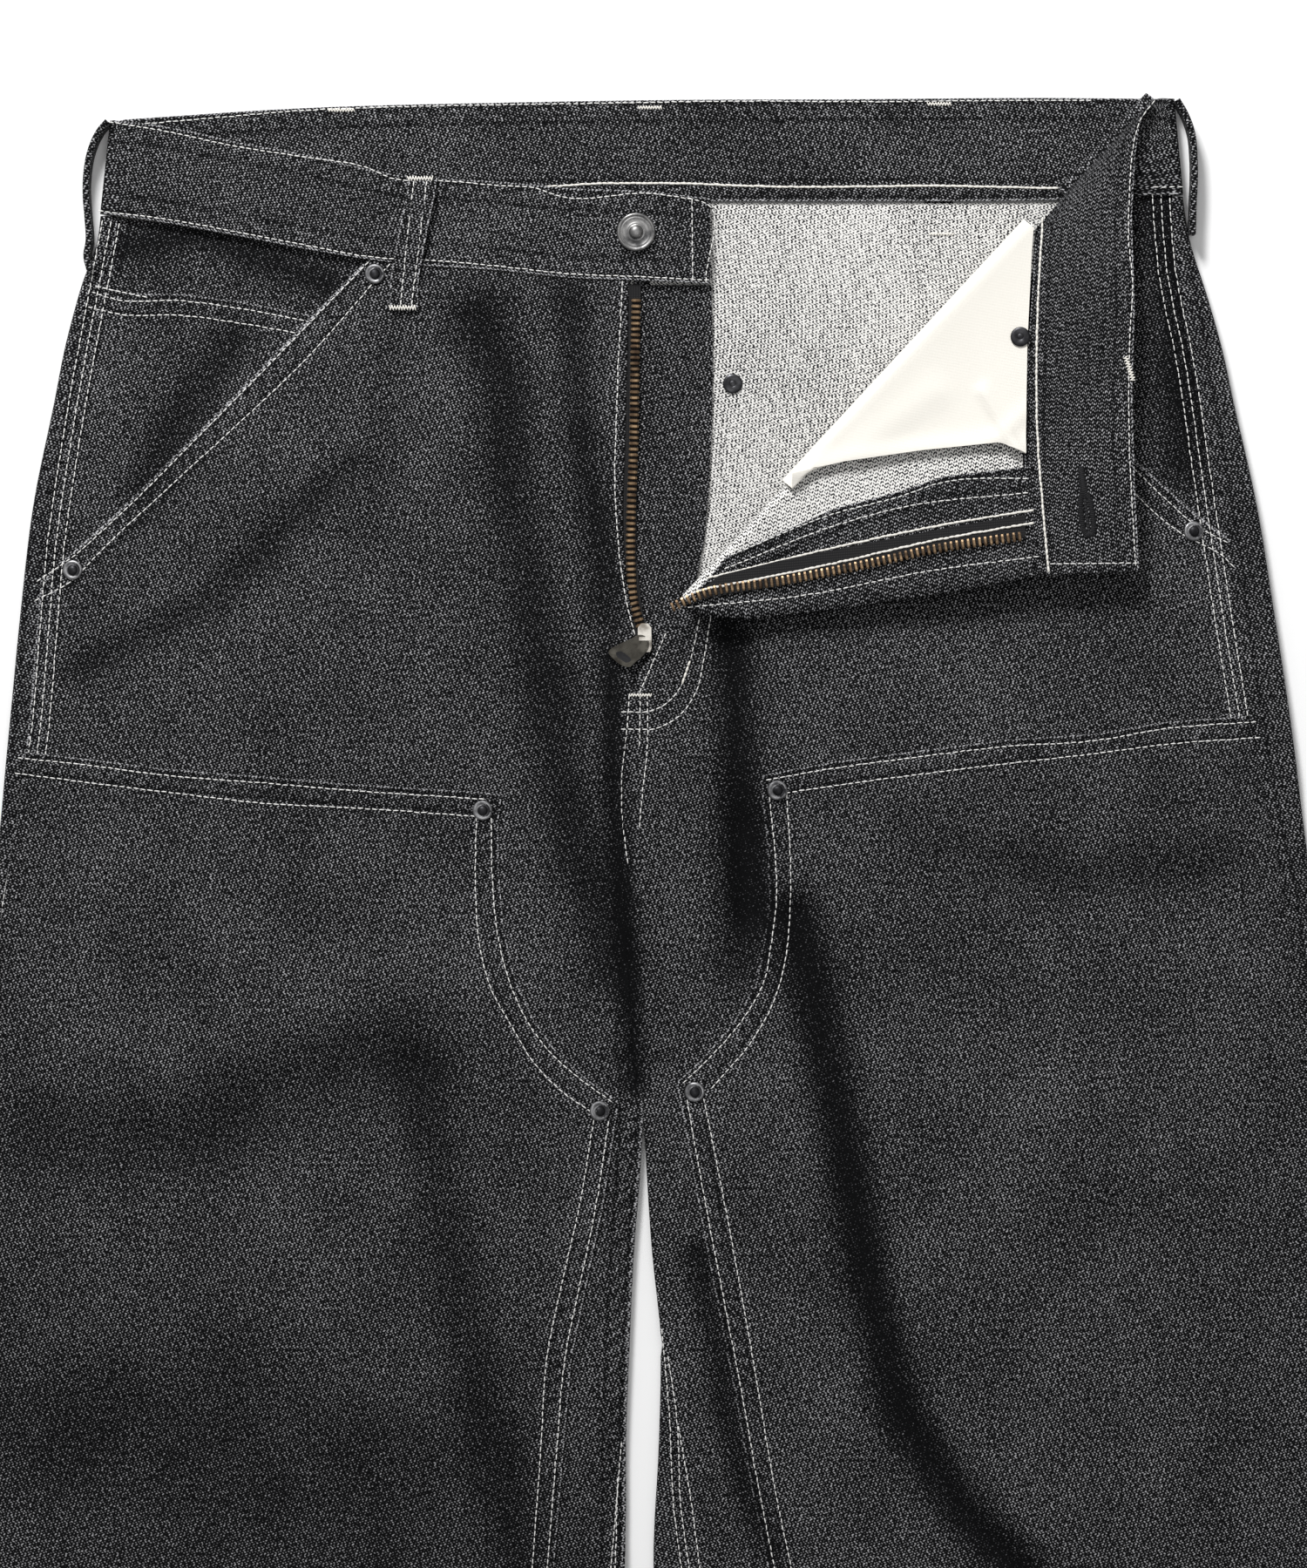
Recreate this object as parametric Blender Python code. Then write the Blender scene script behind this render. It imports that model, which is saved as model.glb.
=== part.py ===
# Carpenter pants with double knees, unzipped and laid flat on a table.
# Units in the tables are millimetres. +X is to the viewer's right, +Y towards the waist, +Z up.
# The back lies on z = 0, the front lies on the back, and the left front is turned out at the fly.
from collections import namedtuple
from math import cos, pi, radians, sin

import bmesh
import bpy
import numpy as np

MM = 0.001

# Driving dimensions
HEM_Y = -525.0            # lowest point of the hems
HEM_RISE = 13.0           # how much higher the outer hem corner lies than the inner one
CROTCH_Y = 80.0           # where the legs part
CLOTH = 1.0               # denim wall
BAND = 2.4                # waistband, two layers of denim
GAP = 0.3                 # between touching pieces
STEP = CLOTH + GAP        # one more layer of cloth
SEAT_LIFT = 1.9           # the seat lies on its pockets and belt loops
PATCH_THICK = 1.6         # back pockets and back belt loops
PANEL_RISE = 4.3          # middle of the back panel to middle of the front panel
FOLD_RADIUS = 3.0         # round fold of the turned-out left front
FLAP_RISE = 9.0           # how much higher its free edge stands
SEAM = 0.3                # half of the gap between two panels at a seam
HEM_THICK = 1.2           # the turned-up hem, inside the leg
PIVOT = (1.2, 284.4, 9.9)  # where the zip's pull tab swings, about +Y
TAB_THICK = 1.2
TAB_DROOP = 5.5           # degrees that the tab slopes down to the cloth
TWIST_LIFT = 5.5          # where the left fly edge turns over at the foot of the zip

Side = namedtuple("Side", "y left right")
silhouette = [
    Side(526, -234.5, 233.0), Side(510, -235.5, 236.0), Side(497, -237.5, 237.0),
    Side(480, -239.0, 238.5), Side(463, -241.0, 241.0), Side(436, -249.0, 249.5),
    Side(413, -255.0, 256.0), Side(390, -259.5, 261.0), Side(343, -269.0, 271.5),
    Side(297, -274.5, 279.0), Side(251, -279.0, 286.0), Side(205, -283.5, 292.0),
    Side(80, -297.0, 307.0), Side(-125, -311.0, 318.0), Side(-325, -318.5, 322.0),
    Side(-525, -322.0, 322.0),
]

# How far the outseam lies inside the silhouette, on the top side
Outseam = namedtuple("Outseam", "y left right")
outseam = [
    Outseam(526, 4.8, 4.8), Outseam(470, 4.8, 5.2), Outseam(443, 5.0, 10.0),
    Outseam(376, 6.0, 15.0), Outseam(290, 8.5, 18.0), Outseam(220, 8.5, 17.0),
    Outseam(180, 6.0, 14.0), Outseam(76, 5.0, 13.0), Outseam(-525, 5.0, 12.0),
]

# Inner edges of the legs, from the crotch down
Leg = namedtuple("Leg", "y right_leg left_leg")
inner_edge = [
    Leg(80, 0.0, 0.0), Leg(66, -0.8, 1.9), Leg(43, -2.3, 3.8), Leg(20, -4.2, 5.4),
    Leg(-26, -6.5, 8.1), Leg(-72, -8.1, 7.3), Leg(-118, -7.5, 5.0), Leg(-170, -9.5, 6.5),
    Leg(-250, -15.5, 14.0), Leg(-380, -28.0, 27.0), Leg(-525, -48.0, 43.0),
]

# How far the inseam lies inside the inner edge, on the top side
Inseam = namedtuple("Inseam", "y right_leg left_leg")
inseam = [
    Inseam(80, 4.5, 4.5), Inseam(-20, 4.5, 4.8), Inseam(-57, 4.5, 8.0),
    Inseam(-101, 4.5, 11.5), Inseam(-126, 4.8, 15.0), Inseam(-525, 5.5, 20.0),
]

# Front edge of the right front beside the zip, then the seam between the fronts
Centre = namedtuple("Centre", "y x")
centre_right = [
    Centre(443, -6.5), Centre(413, -7.0), Centre(368, -8.2), Centre(336, -9.0),
    Centre(320, -8.2), Centre(297, -5.0), Centre(281, -3.8), Centre(266, -4.2), Centre(250, -5.0),
    Centre(235, -5.6), Centre(220, -6.0), Centre(186, -6.8), Centre(140, -4.5), Centre(80, 0.0),
]
centre_left = [
    Centre(301.2, 20.4), Centre(291, 13.5), Centre(279, 5.5), Centre(268, -1.5), Centre(258, -4.2),
    Centre(250, -5.0), Centre(235, -5.6), Centre(220, -6.0), Centre(186, -6.8), Centre(140, -4.5),
    Centre(80, 0.0),
]

# Waist seam of the right front and of the back, seen from above
Waist = namedtuple("Waist", "x low high")
band_front = [
    Waist(-236, 472.0, 513.3), Waist(-210, 468.1, 510.4), Waist(-178, 462.3, 503.5),
    Waist(-148, 456.5, 498.0), Waist(-109, 450.4, 489.2), Waist(-61, 446.9, 486.0),
    Waist(-31, 443.8, 483.2), Waist(0, 442.7, 482.0), Waist(30, 441.2, 478.8),
]
band_back = [
    Waist(-236, 472.0, 513.5), Waist(-150, 475.5, 519.0), Waist(-60, 477.5, 521.5),
    Waist(0, 478.0, 522.5), Waist(100, 478.0, 523.0), Waist(180, 478.5, 523.5),
    Waist(234, 480.5, 523.0),
]

# The fold of the left front, from the foot of the zip up to the waistband's top edge
FOLD_FOOT = np.array([20.4, 301.2])
FOLD_SEAM = np.array([186.0, 480.0])
FOLD_TOP = np.array([225.0, 522.1])
FOLD_PANEL = np.array([172.5, 465.5])              # where the panel's own fold ends
fold_way = (FOLD_SEAM - FOLD_FOOT) / np.linalg.norm(FOLD_SEAM - FOLD_FOOT)
fold_out = np.array([-fold_way[1], fold_way[0]])   # towards the open fly

# Free edge of the turned-out front (fly edge), then its waist seam
Point = namedtuple("Point", "x y")
flap_fly = [Point(26.5, 294.8), Point(46, 294.2), Point(84, 298.1), Point(128, 304.6), Point(170, 312.0)]
flap_waist = [
    Point(170, 312.0), Point(167.8, 340), Point(167, 372), Point(168.5, 405), Point(170.6, 436),
    Point(171.6, 446),
]

# Stations of the waistband on the turned-out front: seam edge and top edge
Station = namedtuple("Station", "seam_x seam_y top_x top_y")
flap_band = [
    Station(180.0, 472.5, 219.0, 512.0), Station(172.9, 461.0, 217.0, 497.0),
    Station(171.4, 438, 215.4, 470), Station(168.9, 404, 216.4, 430), Station(167.4, 373, 215.0, 393),
    Station(168.2, 340, 216.0, 352), Station(170.4, 312, 217.9, 314),
]

# Large soft folds of the fronts: a spine from start to end, its half width and its height
Fold = namedtuple("Fold", "x0 y0 x1 y1 width height")
front_folds = [
    Fold(-60, 405, -38, 215, 15, -1.7),     # long trough beside the fly
    Fold(-78, 380, -66, 250, 16, 1.6),      # ridge that borders it
    Fold(-42, 200, -28, 100, 12, -1.5),
    Fold(-18, 275, -14, 110, 9, -2.0),      # crease where the thighs meet
    Fold(44, 275, 46, 135, 9, -2.0),        # narrow crease under the turned-out front
    Fold(62, 210, 66, 120, 12, 2.2),
    Fold(66, 152, 100, 15, 12, -2.1),       # diagonal trough down the left thigh
    Fold(100, 15, 178, -130, 16, -1.7),
    Fold(86, 140, 122, 10, 14, 2.6),
    Fold(32, -48, 58, -118, 9, -1.6),
    Fold(-255, 95, -120, 112, 22, -1.6),    # broad trough across the right thigh
    Fold(-100, 100, -70, -40, 18, -1.5),
    Fold(-230, 60, -110, 70, 20, 2.0),
    Fold(-200, -230, -90, -200, 22, -1.5),  # knees and shins, below the photograph
    Fold(-180, -270, -110, -250, 20, 2.2),
    Fold(-120, -330, -90, -470, 18, -1.5),
    Fold(110, -215, 230, -240, 22, -1.5),
    Fold(130, -262, 210, -275, 20, 2.2),
    Fold(230, -320, 215, -470, 18, -1.5),
    Fold(150, 215, 230, 190, 26, 1.5),
    Fold(-220, 190, -120, 180, 28, 1.3),
]


# Curves and heights

def curve(table, along, value, at):
    """Smooth value through a table's rows, read at one or many places along it."""
    xs = np.array([getattr(row, along) for row in table], float)
    ys = np.array([getattr(row, value) for row in table], float)
    order = np.argsort(xs)
    xs, ys = xs[order], ys[order]
    slope = np.gradient(ys, xs)
    at = np.clip(np.asarray(at, float), xs[0], xs[-1])
    k = np.clip(np.searchsorted(xs, at) - 1, 0, len(xs) - 2)
    h = xs[k + 1] - xs[k]
    t = (at - xs[k]) / h
    return ((2 * t**3 - 3 * t**2 + 1) * ys[k] + (t**3 - 2 * t**2 + t) * h * slope[k]
            + (3 * t**2 - 2 * t**3) * ys[k + 1] + (t**3 - t**2) * h * slope[k + 1])


def smooth(t):
    t = np.clip(t, 0, 1)
    return t * t * (3 - 2 * t)


def line_points(points, count):
    """Evenly spaced points along a polyline of (x, y) points."""
    pts = np.array(points, float)
    run = np.concatenate([[0], np.cumsum(np.linalg.norm(np.diff(pts, axis=0), axis=1))])
    at = np.linspace(0, run[-1], count)
    return np.column_stack([np.interp(at, run, pts[:, 0]), np.interp(at, run, pts[:, 1])])


def seat_lift(y):
    return SEAT_LIFT * smooth((np.asarray(y, float) - 205) / 27)


def back_mid(y):
    return CLOTH / 2 + seat_lift(y)


def folds(x, y):
    total = np.zeros(np.broadcast(x, y).shape)
    for fold in front_folds:
        start = np.array([fold.x0, fold.y0])
        way = np.array([fold.x1, fold.y1]) - start
        length = np.hypot(*way)
        along = ((x - start[0]) * way[0] + (y - start[1]) * way[1]) / length**2
        aside = ((x - start[0]) * way[1] - (y - start[1]) * way[0]) / length
        ends = smooth(0.5 + 2.5 * along) * smooth(3.0 - 2.5 * along)
        total += fold.height * ends * np.exp(-(aside / fold.width) ** 2)
    return total


def front_mid(x, y):
    """Height of the middle of the front's wall."""
    x, y = np.asarray(x, float), np.asarray(y, float)
    left = curve(silhouette, "y", "left", y)
    right = curve(silhouette, "y", "right", y)
    from_side = smooth((np.minimum(x - left, right - x) - 8) / 25)
    from_waist = smooth((432 - y) / 45)
    from_zip = smooth((np.abs(x - 8) - 22) / 22) * (y > 240) + (y <= 240)
    from_hem = smooth((y - HEM_Y) / 60)
    from_gap = smooth((np.abs(x) - 12) / 14) * (y < 100) + (y >= 100)
    lift = folds(x, y) * from_side * from_waist * from_zip * from_hem * from_gap
    foot = TWIST_LIFT * np.exp(-((x - 20) ** 2 + (y - 298) ** 2) / 22.0**2) * smooth((x + 2) / 10)
    return back_mid(y) + PANEL_RISE + np.maximum(lift, -2.2) + foot


def flap_mid(x, y):
    """Height of the middle of the turned-out front, rising away from its fold."""
    x, y = np.asarray(x, float), np.asarray(y, float)
    over = -((x - FOLD_FOOT[0]) * fold_out[0] + (y - FOLD_FOOT[1]) * fold_out[1])
    foot_x = x + over * fold_out[0]
    foot_y = y + over * fold_out[1]
    return front_mid(foot_x, foot_y) + 2 * FOLD_RADIUS + FLAP_RISE * smooth(over / 105)


def on_front(xy):
    return np.dstack([xy[..., 0], xy[..., 1], front_mid(xy[..., 0], xy[..., 1])])


def on_flap(xy):
    return np.dstack([xy[..., 0], xy[..., 1], flap_mid(xy[..., 0], xy[..., 1])])


# Building blocks

def new_object(name, mesh, material):
    obj = bpy.data.objects.new(name, mesh)
    obj.data.materials.append(material)
    bpy.context.scene.collection.objects.link(obj)
    return obj


def material(name, colour, roughness, metallic=0.0):
    mat = bpy.data.materials.new(name)
    mat.use_nodes = True
    shader = mat.node_tree.nodes["Principled BSDF"]
    shader.inputs["Base Color"].default_value = (*colour, 1)
    shader.inputs["Roughness"].default_value = roughness
    shader.inputs["Metallic"].default_value = metallic
    mat.diffuse_color = (*colour, 1)
    return mat


def grid_normals(mid):
    across = np.gradient(mid, axis=1)
    down = np.gradient(mid, axis=0)
    normal = np.cross(across, down)
    return normal / np.maximum(np.linalg.norm(normal, axis=2, keepdims=True), 1e-9)


def wall(name, mid, mat, outer=CLOTH / 2, inner=CLOTH / 2):
    """A closed wall round a grid of middle points; outer and inner are its two half thicknesses."""
    rows, cols = mid.shape[:2]
    normal = grid_normals(mid)
    outer = np.broadcast_to(outer, (rows, cols))[..., None]
    inner = np.broadcast_to(inner, (rows, cols))[..., None]
    points = np.concatenate([(mid + normal * outer).reshape(-1, 3), (mid - normal * inner).reshape(-1, 3)])
    back = rows * cols
    faces = []
    for r in range(rows - 1):
        for c in range(cols - 1):
            a, b = r * cols + c, r * cols + c + 1
            d, e = a + cols, b + cols
            faces.append((a, b, e, d))
            faces.append((back + a, back + d, back + e, back + b))
    rim = [c for c in range(cols)] + [r * cols + cols - 1 for r in range(1, rows)]
    rim += [(rows - 1) * cols + c for c in range(cols - 2, -1, -1)] + [r * cols for r in range(rows - 2, 0, -1)]
    for i, a in enumerate(rim):
        b = rim[(i + 1) % len(rim)]
        faces.append((b, a, back + a, back + b))
    mesh = bpy.data.meshes.new(name)
    mesh.from_pydata([tuple(p) for p in points * MM], [], faces)
    tidy(mesh)
    return new_object(name, mesh, mat)


def tidy(mesh):
    work = bmesh.new()
    work.from_mesh(mesh)
    bmesh.ops.triangulate(work, faces=[f for f in work.faces if len(f.verts) == 4])
    bmesh.ops.recalc_face_normals(work, faces=work.faces)
    work.to_mesh(mesh)
    work.free()


def prism(name, outline, low, high, mat=None):
    """An upright prism over an outline of (x, y) points."""
    work = bmesh.new()
    base = work.faces.new([work.verts.new((x * MM, y * MM, low * MM)) for x, y in outline])
    top = bmesh.ops.extrude_face_region(work, geom=[base])
    lifted = [v for v in top["geom"] if isinstance(v, bmesh.types.BMVert)]
    bmesh.ops.translate(work, vec=(0, 0, (high - low) * MM), verts=lifted)
    bmesh.ops.recalc_face_normals(work, faces=work.faces)
    mesh = bpy.data.meshes.new(name)
    work.to_mesh(mesh)
    work.free()
    if mat:
        return new_object(name, mesh, mat)
    obj = bpy.data.objects.new(name, mesh)
    bpy.context.scene.collection.objects.link(obj)
    obj.hide_render = True
    obj.display_type = "WIRE"
    return obj


def cut(obj, cutter, operation):
    modifier = obj.modifiers.new(cutter.name, "BOOLEAN")
    modifier.operation = operation
    modifier.solver = "EXACT"
    modifier.object = cutter


def overlay(name, mid, lift, outline, mat, low=-20, high=60):
    """A piece that lies on a panel: the panel's own points moved by lift, trimmed to an outline."""
    moved = mid + np.array([0, 0, lift])
    piece = wall(name, moved, mat)
    cut(piece, prism(name + "_trim", outline, low, high), "INTERSECT")
    return piece


def turned(name, profile, mat, place, sides=20, tilt=(0, 0, 0)):
    """A round piece: a profile of (radius, height) rows turned about Z, set at place."""
    work = bmesh.new()
    rings = []
    for radius, height in profile:
        if radius == 0:
            rings.append([work.verts.new((0, 0, height * MM))])
            continue
        rings.append([
            work.verts.new((radius * MM * cos(2 * pi * k / sides), radius * MM * sin(2 * pi * k / sides),
                            height * MM))
            for k in range(sides)])
    for lower, upper in zip(rings, rings[1:]):
        for k in range(sides):
            j = (k + 1) % sides
            if len(lower) == 1:
                work.faces.new((lower[0], upper[k], upper[j]))
            elif len(upper) == 1:
                work.faces.new((lower[k], upper[0], lower[j]))
            else:
                work.faces.new((lower[k], upper[k], upper[j], lower[j]))
    bmesh.ops.recalc_face_normals(work, faces=work.faces)
    mesh = bpy.data.meshes.new(name)
    work.to_mesh(mesh)
    work.free()
    mesh.shade_smooth()
    mesh.set_sharp_from_angle(angle=radians(35))
    obj = new_object(name, mesh, mat)
    obj.location = [v * MM for v in place]
    obj.rotation_euler = tilt
    return obj


# Grids of the panels

LEG_ROWS = [
    -525, -511, -509.5, -470, -420, -370, -320, -270, -220, -170, -125, -80, -35, 10,
    36, 46, 54, 62, 70, 78, 90, 110, 135, 160, 185, 205, 218, 232,
]
SEAT_ROWS = [254, 278, 304, 334, 366, 400, 432, 452, 471]


def hem_y(x_share):
    """The hem's line: the outer corner lies a little higher than the inner one."""
    return HEM_Y + HEM_RISE * (1 - x_share)


def inner_x(side, y):
    return curve(inner_edge, "y", side, np.minimum(y, CROTCH_Y))


def outer_x(side, y):
    """Where the front panel's outer edge lies."""
    sign = 1 if side == "left" else -1
    return curve(silhouette, "y", side, y) + sign * curve(outseam, "y", side, y)


def front_inner(side, y):
    """Inner edge of a front: the centre seam above the crotch, the inseam below it."""
    centre = centre_right if side == "right_leg" else centre_left
    sign = -1 if side == "right_leg" else 1
    leg = inner_x(side, y) + sign * (SEAM + (curve(inseam, "y", side, np.minimum(y, 80)) - SEAM)
                                     * smooth((CROTCH_Y - y) / 8))
    return np.where(y > CROTCH_Y, curve(centre, "y", "x", y) + sign * SEAM, leg)


def right_front_grid(cols=13):
    """Rows from the hem to the waist, columns from the outseam to the centre."""
    rows = np.array(LEG_ROWS + SEAT_ROWS, float)
    share = np.linspace(0, 1, cols)[None, :]
    seam_drop = 471 - (curve(band_front, "x", "low", -236 + share * 229.5) - GAP)
    y = rows[:, None] - seam_drop * smooth((rows[:, None] - 232) / (471 - 232))
    y = y + HEM_RISE * (1 - share) * (1 - smooth((rows[:, None] - HEM_Y) / 80))
    left = outer_x("left", y)
    right = front_inner("right_leg", y)
    x = left + (right - left) * share
    return np.dstack([x, y])


def left_front_grid(cols=13):
    """The lower layer of the left front, from the hem to its fold, centre to outseam."""
    share = np.linspace(0, 1, cols)[None, :]
    rows = np.array(LEG_ROWS, float)[:, None]
    y = rows + HEM_RISE * share * (1 - smooth((rows - HEM_Y) / 80))
    left = front_inner("left_leg", y)
    right = outer_x("right", y)
    legs = np.dstack([left + (right - left) * share, y])
    # Above the thigh the rows turn from level to the slope of the fold.
    steps = np.linspace(0, 1, 10)[1:]
    inner_y = 232 + (FOLD_FOOT[1] - 232) * steps
    inner = np.column_stack([front_inner("left_leg", inner_y), inner_y])
    inner[-1] = FOLD_FOOT
    side_y = np.array([260, 295, 330, 365, 400, 440, 480.2])
    side = np.column_stack([outer_x("right", side_y), side_y])
    waist = np.array([[210.0, 480.0], FOLD_PANEL])
    outer = np.vstack([side, waist])
    upper = inner[:, None] + (outer - inner)[:, None] * share[..., None]
    return np.vstack([legs, upper])


def fold_rows(base, inside=0.0, steps=(0.25, 0.5, 0.75)):
    """Rows of points round the fold, from the lower layer to the turned-out one."""
    rows = []
    for step in steps:
        angle = pi * step
        row = base.copy()
        row[:, :2] += fold_out * (FOLD_RADIUS + inside) * sin(angle)
        row[:, 2] += FOLD_RADIUS - (FOLD_RADIUS + inside) * cos(angle)
        rows.append(row)
    return np.array(rows)


def flap_grid(cols=13, rows=8):
    """The turned-out front, from its fold to its free edges."""
    corner = round(0.457 * (cols - 1))
    fly = line_points(flap_fly, corner + 1)
    waist = line_points(flap_waist, cols - corner)
    free = np.vstack([fly, waist[1:]])
    fold = line_points([FOLD_FOOT, FOLD_PANEL], cols)
    share = np.linspace(0, 1, rows)[:, None, None]
    return fold[None] + (free - fold)[None] * share


def rolled_edge(radius, tail, curl):
    """A strip that rolls up by curl (0 flat, 1 half a turn) and ends in a straight tail."""
    turn = pi * max(curl, 0.02)
    bend = pi * radius / turn
    strip = [(bend * sin(turn * k / 4), bend * (1 - cos(turn * k / 4))) for k in range(5)]
    strip.append((strip[-1][0] + tail * cos(turn), strip[-1][1] + tail * sin(turn)))
    strip = np.array(strip)
    strip[:, 1] *= min(1.0, 2 * radius / max(strip[:, 1].max(), 1e-6))
    return strip


def back_grid(side):
    """A back leg: outseam on top, round the side, across the table, round the inner edge."""
    outer_side, sign = ("left", 1) if side == "right_leg" else ("right", -1)
    rows = np.array(LEG_ROWS + SEAT_ROWS + [477.6], float)
    radius = PANEL_RISE / 2
    grid = []
    for y in rows:
        base = back_mid(y)
        edge = curve(silhouette, "y", outer_side, y) + sign * CLOTH / 2
        seam = outer_x(outer_side, y) - sign * 2 * SEAM
        inner = inner_x(side, y)
        curl = float(smooth((CROTCH_Y - 2 - y) / 34))
        points = []
        for share in (0, 0.5):
            x = seam + (edge + sign * radius - seam) * share
            points.append((x, base + 2 * radius))
        for step in range(5):
            angle = pi * step / 4
            points.append((edge + sign * radius * (1 - sin(angle)), base + radius * (1 + cos(angle))))
        lap = float(curve(inseam, "y", side, min(y, 80)))
        lap_tail = lap - 2 * SEAM - radius - CLOTH / 2
        strip = rolled_edge(radius, 2.4 + (lap_tail - 2.4) * curl, curl)
        end = inner - sign * (SEAM + (CLOTH / 2 - SEAM) * curl + strip[:, 0].max())
        start = edge + sign * radius
        for share in (0.1, 0.5):
            points.append((start + (end - start) * share, base))
        for out, rise in strip:
            points.append((end + sign * out, base + rise))
        points = np.array(points)
        share = np.clip((points[:, 0] - inner) / (edge - inner), 0, 1)
        drop = HEM_RISE * share * (1 - smooth((y - HEM_Y) / 80))
        if y > 440:
            seam_y = curve(band_back, "x", "low", points[:, 0]) - 3 * GAP
            drop = drop - (477.6 - seam_y) * smooth((y - 440) / 37.6)
        grid.append(np.column_stack([points[:, 0], y + drop, points[:, 1]]))
    return np.array(grid)


def band_grid(across=5):
    """The whole waistband: front right, left side, back, right side, fold and turned-out end."""
    share = np.linspace(0, 1, across)[:, None]
    radius = (PANEL_RISE + CLOTH / 2 - BAND / 2) / 2
    front_z = back_mid(480) + PANEL_RISE
    back_z = SEAT_LIFT + BAND / 2
    columns = []

    def add(low, high, low_z, high_z=None):
        high_z = low_z if high_z is None else high_z
        ends = np.array([[*low, low_z], [*high, high_z]])
        columns.append(ends[0] + (ends[1] - ends[0]) * share)

    for x in (30, 14, -2, -20, -42, -66, -90, -110, -130, -150, -172, -195, -216, -231):
        low = curve(band_front, "x", "low", x)
        high = curve(band_front, "x", "high", x)
        add((x, low), (x + 2 if x == -231 else x, high), front_z)
    for side, sign in (("left", -1), ("right", 1)):
        if side == "right":
            for x in (-228, -195, -160, -120, -80, -40, 0, 40, 80, 120, 160, 195, 226):
                low = curve(band_back, "x", "low", x)
                high = curve(band_back, "x", "high", x)
                add((x, low), (x, high), back_z)
        for step in range(7):
            angle = pi * step / 6
            out = radius * sin(angle) - radius
            rise = -cos(angle) if side == "right" else cos(angle)
            z = (front_z + back_z) / 2 + radius * rise
            low_x = curve(silhouette, "y", side, 476) - sign * BAND / 2 + sign * out
            high_x = curve(silhouette, "y", side, 516) - sign * BAND / 2 + sign * out
            low_y = 472.0 if side == "left" else 480.6
            high_y = 513.2 if side == "left" else 522.8
            add((low_x, low_y), (high_x, high_y), z)
    add((231, 480.6), (231.2, 522.9), front_z)
    add((218, 480.4), (229.5, 523.0), front_z)
    add((202, 480.2), (227.5, 522.8), front_z)
    add(FOLD_SEAM + (0.5, 0), FOLD_TOP + (0.4, 0), front_z)
    low, high = FOLD_SEAM + (0.3, 0.3), FOLD_TOP
    for step in (0.25, 0.5, 0.75, 1.0):
        angle = pi * step
        shift = fold_out * FOLD_RADIUS * sin(angle)
        z = front_z + FOLD_RADIUS * (1 - cos(angle))
        add(low + shift, high + shift, z)
    for row in flap_band:
        low, high = (row.seam_x + GAP, row.seam_y), (row.top_x, row.top_y)
        add(low, high, float(flap_mid(*low)), float(flap_mid(*high)))
    return np.array(columns)


# Sub-parts

def make_legs(denim):
    right = right_front_grid()
    right_mid = on_front(right)
    lower = left_front_grid()
    lower_mid = on_front(lower)
    flap = flap_grid()
    flap_points = on_flap(flap)
    left_mid = np.vstack([lower_mid, fold_rows(lower_mid[-1]), flap_points])
    def hem(grid):
        thick = np.zeros(grid.shape[:2])
        thick[:2] = HEM_THICK
        return thick

    front_right = wall("front_leg_right", right_mid, denim, CLOTH / 2, CLOTH / 2 + hem(right_mid))
    opening = [(-121.5, 452), (-194.6, 374.6), (-230.8, 338.8), (-251.5, 320.4), (-275, 302), (-275, 480),
               (-121.5, 480)]
    cut(front_right, prism("opening_right", opening, -10, 40), "DIFFERENCE")
    front_left = wall("front_leg_left", left_mid, denim, CLOTH / 2, CLOTH / 2 + hem(left_mid))
    opening = [(140, 446), (217.3, 360.4), (243.1, 338.1), (262, 324), (285, 312), (285, 500), (140, 500)]
    cut(front_left, prism("opening_left", opening, -10, 9.6), "DIFFERENCE")
    for name, side in (("back_leg_right", "right_leg"), ("back_leg_left", "left_leg")):
        grid = back_grid(side)
        if side == "left_leg":
            grid = grid[:, ::-1]
        wall(name, grid, denim, CLOTH / 2 + hem(grid), CLOTH / 2)
    return right_mid, lower_mid, flap_points


def make_pockets(denim, cotton, right_mid, lower_mid, flap_points):
    facing = [(-270, 490), (-98, 490), (-98, 447), (-243, 297), (-270, 308)]
    overlay("pocket_facing_right", right_mid[27:], -2 * STEP, facing, denim)
    coin = [(-275, 441.5), (-245.4, 440), (-231.9, 435.8), (-205, 435.4), (-178.1, 431.9), (-147.3, 426.2),
            (-128, 422), (-244, 303), (-275, 312)]
    overlay("coin_pocket", right_mid[27:], -STEP, coin, denim)
    facing = [(196, 490), (290, 490), (290, 318), (236, 314), (150, 410), (150, 430)]
    overlay("pocket_facing_left", lower_mid[27:], -STEP, facing, denim, high=9.6)
    under = np.array([0, 0, 2 * STEP])
    bag_mid = np.vstack([lower_mid[30:] - under, fold_rows(lower_mid[-1], 2 * STEP), flap_points + under])
    bag = wall("pocket_bag_left", bag_mid[:, 1:12], cotton)
    outline = [(66, 357), (89.2, 362.3), (121.9, 366.9), (157.3, 370.4), (168.2, 365.4), (169.9, 414),
               (172.3, 455), (184, 471), (150, 470), (60, 370)]
    cut(bag, prism("pocket_bag_trim", outline, -10, 60), "INTERSECT")
    for name, sign in (("back_pocket_left", 1), ("back_pocket_right", -1)):
        outline = [(40, 401), (188, 397), (184, 262), (114, 240), (44, 266)]
        prism(name, [(sign * x, y) for x, y in outline], 0, PATCH_THICK, denim)


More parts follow.
